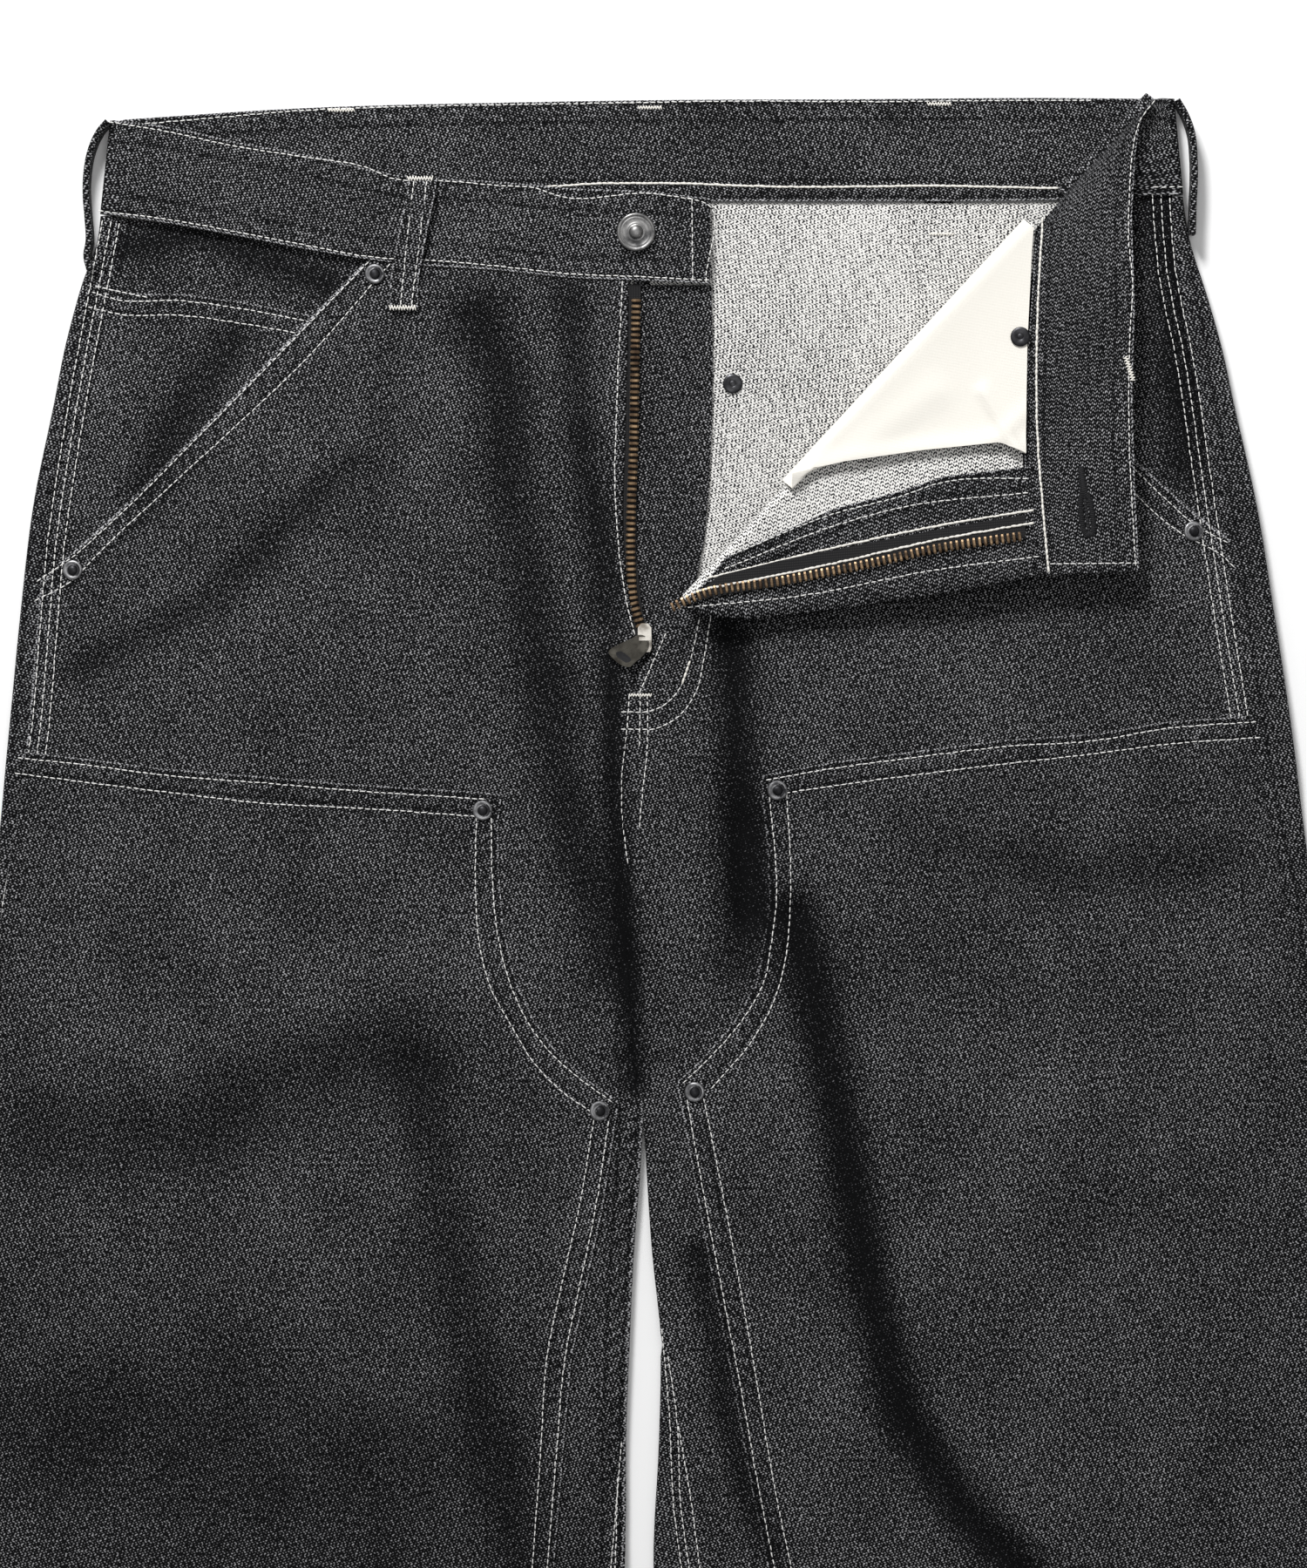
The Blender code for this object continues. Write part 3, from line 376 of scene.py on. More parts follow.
def twill(finish, x, y, lean):
    # the floats of single threads stand in rows that lean one way and then the other
    drift = finish.noise(x * 0.16, y * 0.14, 2.0) * 0.8
    zigzag = (y + drift * 0.6).maths("PINGPONG", denim["along"] / 2)
    floats = ((x + zigzag * (0.95 * lean) + y * 0.35) / denim["across"] + drift).wave()
    ends = ((y - x * 0.3) / (denim["along"] / 2)).wave()
    uneven = finish.noise(x * 0.75, y * 0.7, 3.0)
    return floats * 0.48 + ends * 0.32 + (uneven - 0.5) * 1.25


def makeDenimFace():
    finish = Finish("denimFace", roughness=0.88, specular=0.12)
    x, y = finish.cloth()
    weave = twill(finish, x, y, 1.0)
    slubs = finish.noise(x * 0.5, y * 0.07, 3.0) * 0.6 + finish.noise(x * 0.06, y * 0.5, 2.0) * 0.4
    cloud = finish.noise(x * 0.022, y * 0.017, 3.0)
    # shade: the painted fold shade, read from the sheet's attribute
    seam, run, shade = finish.attribute("seam"), finish.attribute("run"), finish.attribute("shade")
    atSeam = 1 - seam.step(*denim["puckered"])
    pucker = ((run + seam * 0.8) / denim["pucker"] + finish.noise(run * 0.07, seam * 0.05) * 2.2).wave()
    # groove: the dents of the stitch rows, shaped in the bump and also darkened in the colour as painted
    # shade
    near, far = [1 - (seam - row).maths("ABSOLUTE").step(0.2, 1.3) for row in denim["stitchRows"]]
    groove = near + far
    rim = 1 - seam.step(0.2, 1.1)
    shown = weave + (slubs - 0.5) * 0.24 + (cloud - 0.5) * 0.2 + (pucker - 0.5) * atSeam * 0.10 + rim * 0.22
    # painted shade: fewer light specks along the stitch grooves and in the fold hollows
    shown = shown - groove * 0.08 - shade * 0.19
    specks = shown.step(*denim["coverage"])
    # painted shade: the specks turn greyer in the fold hollows
    finish.colour(finish.mix(specks, denim["dark"], finish.mix(shade, denim["speck"], denim["speckInPaintedShade"])))
    finish.bump(weave * 0.08 + (pucker * 0.5 + 0.3) * atSeam - groove * 0.3, 0.001, 0.6)
    return finish.material


def makeDenimInside():
    finish = Finish("denimInside", roughness=0.92, specular=0.12)
    x, y = finish.cloth()
    weave = twill(finish, x, y, -1.0)
    slubs = finish.noise(x * 0.5, y * 0.06, 3.0)
    soft = finish.objectNoise(14, 3.0)
    specks = (weave + (slubs - 0.5) * 0.35 + (soft - 0.5) * 0.25).step(*denim["insideCoverage"])
    finish.colour(finish.mix(specks, denim["insideLight"], denim["insideDark"]))
    finish.bump(weave, 0.0002, 0.6)
    return finish.material


cotton = {"thread": 0.55, "light": (0.84, 0.815, 0.755, 1), "shade": (0.74, 0.705, 0.635, 1)}
zipTape = {"rib": (1.1, 0.8), "dark": (0.009, 0.009, 0.010, 1), "light": (0.030, 0.029, 0.029, 1)}


def makeCotton():
    finish = Finish("pocketCotton", roughness=0.9, specular=0.2)
    x, y = finish.cloth()
    weave = (x / cotton["thread"]).wave() * 0.5 + (y / cotton["thread"]).wave() * 0.5
    soft = finish.noise(x * 0.05, y * 0.05, 3.0)
    finish.colour(finish.mix(weave * 0.25 + soft * 0.3, cotton["light"], cotton["shade"]))
    finish.bump(weave * 0.4 + soft, 0.0004, 0.5)
    return finish.material


def makeTape():
    finish = Finish("blackTape", roughness=0.85, specular=0.2)
    x, y = finish.cloth()
    rib = (x / zipTape["rib"][0]).wave() * (y / zipTape["rib"][1]).wave()
    finish.colour(finish.mix(rib, zipTape["dark"], zipTape["light"]))
    finish.bump(rib, 0.0002, 0.6)
    return finish.material


def makeThread(name, light, shade):
    finish = Finish(name, roughness=0.7, specular=0.25)
    fuzz = finish.objectNoise(1400, 1.0)
    finish.colour(finish.mix(fuzz, shade, light))
    finish.bump(fuzz, 0.0001, 0.5)
    return finish.material


def makeMetal(name, light, shade, roughness, scale=260, wear=0.35):
    finish = Finish(name, roughness=roughness, metallic=1.0, specular=0.5)
    fine, broad = finish.objectNoise(scale, 4.0), finish.objectNoise(scale * 0.3, 2.0)
    tarnish = (fine * 0.6 + broad * 0.4).step(0.35, 0.65)
    finish.colour(finish.mix(tarnish, light, shade))
    finish.feed(finish.shader.inputs["Roughness"], tarnish * wear + roughness)
    finish.bump(fine, 0.0001, 0.4)
    return finish.material


finishes = {
    "face": makeDenimFace(), "inside": makeDenimInside(), "cotton": makeCotton(), "tape": makeTape(),
    "thread": makeThread("whiteThread", (0.93, 0.925, 0.90, 1), (0.72, 0.71, 0.69, 1)),
    "heavyThread": makeThread("heavyThread", (0.93, 0.91, 0.86, 1), (0.66, 0.63, 0.57, 1)),
    "blackThread": makeThread("blackThread", (0.020, 0.020, 0.022, 1), (0.006, 0.006, 0.007, 1)),
    "antique": makeMetal("antiqueSilver", (0.36, 0.355, 0.35, 1), (0.07, 0.07, 0.072, 1), 0.30),
    "gunmetal": makeMetal("gunmetal", (0.075, 0.075, 0.08, 1), (0.02, 0.02, 0.022, 1), 0.26),
    "ringMetal": makeMetal("ringMetal", (0.42, 0.42, 0.43, 1), (0.12, 0.12, 0.125, 1), 0.30),
    "nickel": makeMetal("nickel", (0.62, 0.59, 0.54, 1), (0.30, 0.27, 0.23, 1), 0.22),
    "darkPull": makeMetal("darkPull", (0.10, 0.094, 0.08, 1), (0.035, 0.032, 0.028, 1), 0.30),
    "brass": makeMetal("antiqueBrass", (0.36, 0.25, 0.15, 1), (0.07, 0.045, 0.03, 1), 0.30),
}
print("finishes made")


# Cloth sheets

def clear():
    bpy.ops.object.select_all(action="DESELECT")


def clothSheet(name, mid, flat, thick=1.0, face="face", inside="inside", stands=(),
               edges=(), sewnEdges=None, folded=0.0):
    # a grid of middle points (rows, columns, xyz) gets its wall, its two finishes, its seams and its painted
    # fold shade
    rows, cols = mid.shape[:2]
    clear()
    bpy.ops.mesh.primitive_grid_add(x_subdivisions=cols - 1, y_subdivisions=rows - 1, size=1)
    piece = bpy.context.object
    piece.name = piece.data.name = name
    mesh = piece.data
    mesh.vertices.foreach_set("co", (mid * mm).astype(np.float32).ravel())
    for layer in list(mesh.uv_layers):
        mesh.uv_layers.remove(layer)
    corner = np.zeros(len(mesh.loops), int)
    mesh.loops.foreach_get("vertex_index", corner)
    places = (flat.reshape(-1, 2)[corner] * mm).astype(np.float32)
    mesh.uv_layers.new(name="cloth").data.foreach_set("uv", places.ravel())
    seam, run = np.full((rows, cols), 60.0), np.zeros((rows, cols))
    for line in edges:
        away, along = nearLine(mid[..., 0], mid[..., 1], line)
        run, seam = np.where(away < seam, along, run), np.minimum(seam, away)
    if sewnEdges is not None:
        seam, run = sewnEdges
    # painted shade: the darkness of the fold hollows goes into the 'shade' attribute; folded says how much of
    # it this sheet gets
    shade = paintedFoldShade(mid[..., 0], mid[..., 1]) * folded
    for key, values in (("seam", seam), ("run", run), ("shade", shade)):
        layer = mesh.attributes.new(key, "FLOAT", "POINT")
        layer.data.foreach_set("value", values.astype(np.float32).ravel())
    for key in (face, inside):
        mesh.materials.append(finishes[key])
    wall = piece.modifiers.new("wall", "SOLIDIFY")
    wall.thickness, wall.offset, wall.material_offset = thick * mm, 0, 1
    bpy.ops.object.modifier_apply(modifier=wall.name)
    bpy.ops.object.shade_smooth_by_angle(angle=radians(50))
    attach(piece, "pants")
    if stands:
        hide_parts(*stands)
    edgeA, edgeB = flat[1:, :-1] - flat[:-1, :-1], flat[:-1, 1:] - flat[:-1, :-1]
    edgeC, edgeD = flat[:-1, 1:] - flat[1:, 1:], flat[1:, :-1] - flat[1:, 1:]
    cross = np.abs(edgeA[..., 0] * edgeB[..., 1] - edgeA[..., 1] * edgeB[..., 0]) / 2
    cross += np.abs(edgeC[..., 0] * edgeD[..., 1] - edgeC[..., 1] * edgeD[..., 0]) / 2
    return piece


def lifted(xy, height):
    return np.dstack([xy[..., 0], xy[..., 1], height(xy[..., 0], xy[..., 1])])


def tucked(mid, flat, depth=1.8):
    # turns the sewn edges of a front down at their rims
    for column, beside, at in ((0, 1, 0), (-1, -2, None)):
        rim, cloth = mid[:, column].copy(), flat[:, column].copy()
        way = rim[:, :2] - mid[:, beside, :2]
        way = way / np.maximum(np.linalg.norm(way, axis=1), 1e-6)[:, None]
        for out, drop, run in ((0.25, 0.22, 0.35), (0.42, 0.7, 0.9), (0.45, depth, depth + 0.2)):
            place = np.column_stack([rim[:, :2] + way * out, rim[:, 2] - drop])
            end = mid.shape[1] if at is None else at
            mid, flat = np.insert(mid, end, place, axis=1), np.insert(flat, end, cloth + way * run, axis=1)
    return mid, flat


def ruled(first, second, shares):
    # rows of places from one edge line to the other
    shares = np.asarray(shares)[None, :, None]
    return first[:, None] + (second - first)[:, None] * shares


legRows = np.concatenate([np.arange(-525, -165, 9), np.arange(-165, pants["legTop"], 3.0), [pants["legTop"]]])


def outerX(side, y):
    sign = 1 if side == "left" else -1
    column = 1 if side == "left" else 2
    return curve(silhouette, column, y) + sign * curve(outseamInset, column, y)


def innerX(column, y):
    return curve(innerEdge, column, np.minimum(y, pants["crotchY"]))


def frontInner(column, y):
    # inner edge of a front: centre seam above the crotch, inseam below it
    centre, sign = (centreRight, -1) if column == 1 else (centreLeft, 1)
    seam = pants["seam"]
    leg = innerX(column, y) + sign * (curve(visibleInseam, column, np.minimum(y, 80)) - 0.4)
    if column == 2:
        seam = seam - 1.5 * ease((y - 84) / 10) * ease((268 - y) / 10)
    return np.where(y > pants["crotchY"], curve(centre, 1, y) + sign * seam, leg)


frontPlan = {
    "columns": 108, "flapCorner": 0.457,               # how far along its free edge the flap's corner lies
    "rightOpening": [(452, -120.2), (374.6, -195.6), (338.8, -232.0), (320.4, -252.7), (310.4, -267.4),
        (302, -279)],
    "leftOpening": [(259.5, 327.4), (243.8, 339.2), (218.2, 361.4), (147.5, 438.4)],
}


def makeRightFront():
    legTop, frontTop = pants["legTop"], pants["frontTop"]
    rows = np.concatenate([legRows, np.arange(legTop + 3, frontTop, 3.0), [frontTop]])[:, None]
    share = np.linspace(0, 1, frontPlan["columns"])[None, :]
    opening = np.array(frontPlan["rightOpening"][::-1], float)
    topX = opening[-1, 1] + (centreRight[0][1] - opening[-1, 1]) * share
    drop = frontTop - (curve(bandFront, 1, topX) - pants["seam"])
    y = rows - drop * ease((rows - legTop) / (frontTop - legTop))
    y = y + pants["hemRise"] * (1 - share) * (1 - ease((rows - pants["hemY"]) / 80))
    cutBack = np.where(y > opening[0, 0], np.interp(y, opening[:, 0], opening[:, 1]), -400)
    left = np.maximum(outerX("left", y), cutBack)
    x = left + (frontInner(1, y) - left) * share
    xy = np.dstack([x, y])
    edges = [xy[::4, 0], xy[:136:4, -1]]
    mid, flat = tucked(lifted(xy, frontMid), xy)
    return clothSheet("rightFront", mid, flat, stands=["front_leg_right"], edges=edges,
                      folded=1.0)


def makeLeftFront():
    count = frontPlan["columns"]
    share = np.linspace(0, 1, count)
    rows = legRows[:, None]
    y = rows + pants["hemRise"] * share[None] * (1 - ease((rows - pants["hemY"]) / 80))
    left, right = frontInner(2, y), outerX("right", y)
    legs = np.dstack([left + (right - left) * share[None], y])
    steps = 72                                         # rows that turn from level to the slope of the fold
    innerY = np.linspace(pants["legTop"], foldFoot[1], steps + 1)[1:]
    inner = np.column_stack([frontInner(2, innerY), innerY])
    inner[-1] = foldFoot
    sideY = np.linspace(pants["legTop"], 327, 30)
    path = np.vstack([np.column_stack([outerX("right", sideY), sideY])[:-1], frontPlan["leftOpening"]])
    outer = np.vstack([evenly(path, steps)[1:], foldPanel])
    lower = np.vstack([legs, ruled(inner, outer, share)])
    lowerMid = lifted(lower, frontMid)
    lowerMid[..., 2] += lapRise(lower[..., 0], lower[..., 1])
    base = lowerMid[-1]
    roll = []
    for turn in np.linspace(0, pi, 9)[1:-1]:
        row = base.copy()
        row[:, :2] += foldOut * pants["foldRadius"] * sin(turn)
        row[:, 2] += pants["foldRadius"] * (1 - cos(turn))
        roll.append(row)
    roll = np.array(roll)
    corner = round(frontPlan["flapCorner"] * (count - 1))
    free = np.vstack([evenly(flapFly, corner + 1), evenly(flapWaist, count - corner)[1:]])
    fold = evenly([foldFoot, foldPanel], count)
    flap = ruled(fold, free, np.linspace(0, 1, 40)).transpose(1, 0, 2)
    mid = np.vstack([lowerMid, roll, lifted(flap, flapMid)])
    rollCloth = base[None, :, :2] + foldOut * (np.linspace(0, pi, 9)[1:-1, None, None] * pants["foldRadius"])
    flat = np.vstack([lower, rollCloth, flapCloth(flap)])
    outseam = np.column_stack([outerX("right", legRows), legRows])
    edges = [outseam[::4], frontPlan["leftOpening"]]
    mid, flat = tucked(mid, flat)
    return clothSheet("leftFront", mid, flat, stands=["front_leg_left"],
                      edges=edges, folded=np.where(np.arange(len(mid)) < len(lowerMid), 1.0, 0.0)[:, None])


def rolledEdge(radius, tail, curl, count=9):
    turn = pi * max(curl, 0.02)
    bend = pi * radius / turn
    at = np.linspace(0, turn, count)
    strip = [(bend * sin(a), bend * (1 - cos(a))) for a in at]
    strip += [(strip[-1][0] + tail * s * cos(turn), strip[-1][1] + tail * s * sin(turn)) for s in (0.5, 1.0)]
    strip = np.array(strip)
    strip[:, 1] *= min(1.0, 2 * radius / max(strip[:, 1].max(), 1e-6))
    return strip


def makeBack(name, node, column):
    # outseam on top, round the side, across the table, round the inner edge
    side, sign = ("left", 1) if column == 1 else ("right", -1)
    legTop, backTop = pants["legTop"], pants["backTop"]
    rows = [np.arange(-525, 0, 12), np.arange(0, legTop, 6), np.arange(legTop, 477, 5), [backTop]]
    radius, half, seam = pants["panelRise"] / 2, pants["cloth"] / 2, pants["seam"]
    turns = np.linspace(0, pi, 9)
    grid, flat = [], []
    for y in np.concatenate(rows):
        base = float(backMid(y))
        edge = float(curve(silhouette, column, y)) + sign * half
        top = float(outerX(side, y)) - sign * 2 * seam
        inner = float(innerX(column, y))
        seen = float(curve(visibleInseam, column, min(y, 80)))
        curl = float(ease((pants["crotchY"] - 2 - y) / 34) * (0.25 + 0.75 * ease((seen - 1.2) / 3)))
        points = [(top + sign * into, base + 2 * radius - drop)
                  for into, drop in ((3.5, 1.5), (1.6, 1.3), (0.5, 0.5))]
        points += [(top + (edge + sign * radius - top) * s, base + 2 * radius) for s in (0, 0.5)]
        points += [(edge + sign * radius * (1 - sin(a)), base + radius * (1 + cos(a))) for a in turns]
        lap = float(curve(inseamInset, column, min(y, 80))) - 2 * seam - radius - half
        strip = rolledEdge(radius, 2.4 + (lap - 2.4) * curl, curl)
        end = inner - sign * (seam + (half - seam) * curl + strip[:, 0].max())
        start = edge + sign * radius
        points += [(start + (end - start) * s, base) for s in np.linspace(0, 1, 62)[1:-1]]
        points += [(end + sign * out, base + rise) for out, rise in strip]
        lastX, lastZ = points[-1]
        points += [(lastX - sign * into, lastZ - drop * curl)
                   for into, drop in ((0.5, 0.5), (1.6, 1.3), (3.2, 1.5))]
        points = np.array(points)
        share = np.clip((points[:, 0] - inner) / (edge - inner), 0, 1)
        drop = pants["hemRise"] * share * (1 - ease((y - pants["hemY"]) / 80))
        if y > 440:
            waist = curve(bandBack, 1, points[:, 0]) - 0.9
            drop = drop - (backTop - waist) * ease((y - 440) / (backTop - 440))
        grid.append(np.column_stack([points[:, 0], y + drop, points[:, 1]]))
        across = runAlong(points)
        flat.append(np.column_stack([across * sign, y + drop]))
    grid, flat = np.array(grid), np.array(flat)
    if column == 1:
        grid, flat = grid[:, ::-1], flat[:, ::-1]
    seamLine = (np.abs(flat[..., 0]), flat[..., 1])
    return clothSheet(name, grid, flat, stands=[node], sewnEdges=seamLine)


# How the band's back leans over to its fold: (lower x, lower y, upper x, upper y)
bandTurn = [
    (231, 480.6, 231.2, 522.9), (224, 480.5, 230.3, 522.95), (218, 480.4, 229.5, 523.0),
    (210, 480.3, 228.5, 522.9), (202, 480.2, 227.5, 522.8), (194, 480.1, 226.4, 522.5)]


def makeWaistband():
    across = 13
    share = np.linspace(0, 1, across)[:, None]
    radius = (pants["panelRise"] + pants["cloth"] / 2 - pants["bandThick"] / 2) / 2
    frontZ = float(backMid(480)) + pants["panelRise"]
    backZ = pants["seatLift"] + pants["bandThick"] / 2
    columns = []

    def add(low, high, z):
        ends = np.array([[*low, z], [*high, z]])
        columns.append(ends[0] + (ends[1] - ends[0]) * share)

    for x in np.concatenate([np.arange(30, -228, -4.0), [-231]]):
        lean = 2 * ease((-x - 205) / 26)
        add((x, curve(bandFront, 1, x)), (x + lean, curve(bandFront, 2, x)), frontZ)
    for side, sign, column in (("left", -1, 1), ("right", 1, 2)):
        if side == "right":
            for x in np.concatenate([[-228], np.arange(-224, 226, 5.0), [226]]):
                add((x, curve(bandBack, 1, x)), (x, curve(bandBack, 2, x)), backZ)
        for turn in np.linspace(0, pi, 11):
            out = radius * sin(turn) - radius
            rise = -cos(turn) if side == "right" else cos(turn)
            lowX = curve(silhouette, column, 476) - sign * pants["bandThick"] / 2 + sign * out
            highX = curve(silhouette, column, 516) - sign * pants["bandThick"] / 2 + sign * out
            low, high = (472.0, 513.2) if side == "left" else (480.6, 522.8)
            add((lowX, low), (highX, high), (frontZ + backZ) / 2 + radius * rise)
    for lowX, lowY, highX, highY in bandTurn:
        add((lowX, lowY), (highX, highY), frontZ)
    low, high = foldSeam + (0.3, 0.3), foldTop
    for turn in np.linspace(0, pi, 9):
        shift = foldOut * pants["foldRadius"] * sin(turn)
        add(low + shift, high + shift, frontZ + pants["foldRadius"] * (1 - cos(turn)))
    stations = np.array([[*foldSeam, *foldTop]] + [list(row) for row in flapBand], float)
    stations[1:, 0] += 0.3
    for seamX, seamY, topX, topY in evenly(stations, 48)[2:]:
        line = np.array([[seamX, seamY], [topX, topY]])
        line = line[0] + (line[1] - line[0]) * share
        columns.append(np.column_stack([line, flapMid(line[:, 0], line[:, 1])]))
    mid = np.array(columns)[::-1].transpose(1, 0, 2)
    middle = mid[across // 2]
    run = runAlong(middle)
    width = np.linalg.norm(mid - mid[:1], axis=2)
    flat = np.dstack([np.broadcast_to(run[None], width.shape) - run[-1], width])
    seam = np.minimum(width, np.linalg.norm(mid - mid[-1:], axis=2))
    return clothSheet("waistbandCloth", mid, flat, thick=pants["bandThick"], inside="face",
                      stands=["waistband"],
                      sewnEdges=(seam, np.broadcast_to(run[None], seam.shape)))


makeRightFront()
makeLeftFront()
makeBack("rightBack", "back_leg_right", 1)
makeBack("leftBack", "back_leg_left", 2)
makeWaistband()
print("legs and waistband made")

kneePatches = {
    "rightTop": [(-330, 241), (-274.2, 234.7), (-243.1, 231.3), (-210.0, 227.1), (-166.9, 223.6),
        (-130.0, 220.5), (-70.8, 216.7), (-62.0, 216.0)],
    "rightInner": [(214.6, -62.0), (204.2, -63.5), (180.8, -63.1), (157.3, -61.2), (136.5, -56.6),
        (117.3, -48.5), (102.7, -38.2), (89.6, -23.8), (80.9, -10.9), (78.5, -10.4), (70.4, -12.0),
        (34.2, -17.3), (-1.2, -24.7), (-33.5, -31.2), (-68.8, -34.3), (-125.8, -38.9), (-200, -46),
        (-292, -55)],
    "leftTop": [(52.4, 224.2), (84.2, 230.2), (113.8, 234.1), (160.0, 239.9), (200.8, 242.6), (229.2, 247.6),
        (269.6, 250.6), (330, 258.5)],
    "leftInner": [(223.1, 52.7), (213.5, 53.1), (191.5, 55.4), (169.2, 56.2), (150.4, 53.9), (132.7, 50.4),
        (115.0, 40.2), (100.0, 27.2), (89.2, 15.9), (87.0, 15.6), (80.0, 17.0), (34.2, 25.0), (-3.8, 32.3),
        (-49.6, 41.2), (-90.8, 48.5), (-125.8, 55.4), (-200, 66), (-292, 74)],
    "bottom": -292,
    "columns": 98,
    "rows": 190,
}


def makeKneePatch(name, node, side):
    top = np.array(kneePatches[side + "Top"], float)
    inner = np.array(kneePatches[side + "Inner"][::-1], float)
    share = np.linspace(0, 1, kneePatches["columns"])[None, :]
    up = np.concatenate([np.linspace(0, 0.22, 20)[:-1], np.linspace(0.22, 1, kneePatches["rows"] - 19)])
    up = up[:, None]
    outerSide = "left" if side == "right" else "right"
    outerTop = float(outerX(outerSide, 235 if side == "right" else 249))
    topX = outerTop + (inner[-1, 1] - outerTop) * share
    topY = np.interp(topX, top[:, 0], top[:, 1])
    y = kneePatches["bottom"] + (topY - kneePatches["bottom"]) * up
    edge = outerX(outerSide, y)
    x = edge + (np.interp(y, inner[:, 0], inner[:, 1]) - edge) * share
    xy = np.dstack([x, y])
    if side == "left":
        xy = xy[:, ::-1]
    mid = lifted(xy, lambda x, y: frontMid(x, y) + pants["layer"])
    last = -1 if side == "right" else 0
    edges = [xy[-1, ::4], xy[::3, last], xy[0, ::8]]
    return clothSheet(name, mid, xy + (400, 0), stands=[node], edges=edges, folded=1.0)


makeKneePatch("rightKneePatch", "knee_patch_right", "right")
makeKneePatch("leftKneePatch", "knee_patch_left", "left")
print("knee patches made")


def between(lowLine, highLine, across, up):
    # a strip between two lines, each spaced evenly
    return ruled(evenly(lowLine, across), evenly(highLine, across), np.linspace(0, 1, up)).transpose(1, 0, 2)


pockets = {
    "facingRight": ([(-262, 300), (-243, 297), (-98, 447)], [(-237, 471.3), (-210, 467.8), (-178, 462),
        (-148, 456.2), (-98, 449.6)]),
    "coin": ([(-262, 303), (-244, 303), (-128, 422)], [(-246, 441.6), (-245.4, 441.3), (-231.9, 437.1),
        (-205, 436.7), (-178.1, 433.2), (-147.3, 427.5), (-128, 423.6)]),
    "facingLeft": ([(150, 410), (236, 314), (262, 318)], [(162, 452), (186, 479.6), (234, 480.2)]),
    "bagCorner": 0.62,                                 # how far along its free edge the bag's corner lies
    "bag": [(66, 357), (89.2, 362.3), (121.9, 366.9), (157.3, 370.4), (168.2, 365.4), (169.3, 414),
        (171.4, 455)],
}


def makeFacings():
    # the facings and the coin pocket reach out to the outseam
    for name, node, key, layers, rests in (
            ("rightPocketFacing", "pocket_facing_right", "facingRight", 2, "back_leg_right"),
            ("coinPocket", "coin_pocket", "coin", 1, "rightPocketFacing"),
            ("leftPocketFacing", "pocket_facing_left", "facingLeft", 1, "back_leg_left")):
        low, high = pockets[key]
        xy = between(low, high, 60, 50)
        side, column = ("right", -1) if key == "facingLeft" else ("left", 0)
        shift = (outerX(side, xy[:, column, 1]) - xy[:, column, 0])[:, None]
        weight = np.linspace(0, 1, 60)
        xy[..., 0] += shift * (weight if side == "right" else weight[::-1])
        mid = lifted(xy, lambda x, y: frontMid(x, y) - layers * pants["layer"])
        edges = [xy[::3, column]] + ([xy[-1, ::3]] if key == "coin" else [])
        clothSheet(name, mid, xy + (0, 200 * layers), stands=[node], edges=edges, folded=1.0)


def makeBag():
    # the pocket bag comes round the fold and lies on the turned-out front
    lowEdge, up, count = pockets["bag"], 34, 64
    corner = round(pockets["bagCorner"] * (count - 1))
    free = np.vstack([evenly(lowEdge[:5], corner + 1), evenly(lowEdge[4:], count - corner)[1:]])
    fold = evenly([foldFoot + foldWay * 67, foldPanel - foldWay * 0.5], count)
    flap = ruled(fold, free, np.linspace(0, 1, up)).transpose(1, 0, 2)
    over = pants["layer"] * 2
    base = lifted(fold[None], frontMid)[0]
    radius = pants["foldRadius"] + over
    roll = []
    for turn in np.linspace(0.35 * pi, pi, 7)[:-1]:
        row = base.copy()
        row[:, :2] += foldOut * radius * sin(turn)
        row[:, 2] += pants["foldRadius"] - radius * cos(turn)
        roll.append(row)
    # creases of the bag: both ends, half the width, the height
    creases = [((150, 393), (165, 366), 2.6, 1.9), ((155, 372), (169, 384), 3, 1.1),
               ((96, 368), (128, 392), 7, 0.9)]

    def bagMid(x, y):
        lift = sum(high * np.exp(-(nearLine(x, y, [a, b])[0] / wide) ** 2) for a, b, wide, high in creases)
        raised = 1.6 * np.exp(-(nearLine(x, y, lowEdge[:5])[0] / 5) ** 2)
        return flapMid(x, y) + over + lift + raised

    mid = np.vstack([np.array(roll), lifted(flap, bagMid)])
    rollFlat = base[None, :, :2] + foldOut * (np.linspace(0.35 * pi, pi, 7)[:-1, None, None] * radius)
    clothSheet("pocketBag", mid, np.vstack([rollFlat, flapCloth(flap)]), thick=0.8, face="cotton",
               inside="cotton", stands=["pocket_bag_left"])


def makeBackPockets():
    # under the seat
    for name, node, sign in (("leftBackPocket", "back_pocket_left", 1),
                             ("rightBackPocket", "back_pocket_right", -1)):
        low = [(sign * 44, 266), (sign * 114, 240), (sign * 184, 262)]
        high = [(sign * 40, 401), (sign * 188, 397)]
        xy = between(low, high, 40, 36)
        if sign > 0:
            xy = xy[:, ::-1]
        clothSheet(name, lifted(xy, lambda x, y: 0.8 + 0 * x), xy, thick=1.6, stands=[node],
                   edges=[xy[-1], xy[0], xy[:, 0], xy[:, -1]])


makeFacings()
makeBag()
makeBackPockets()
print("pockets made")

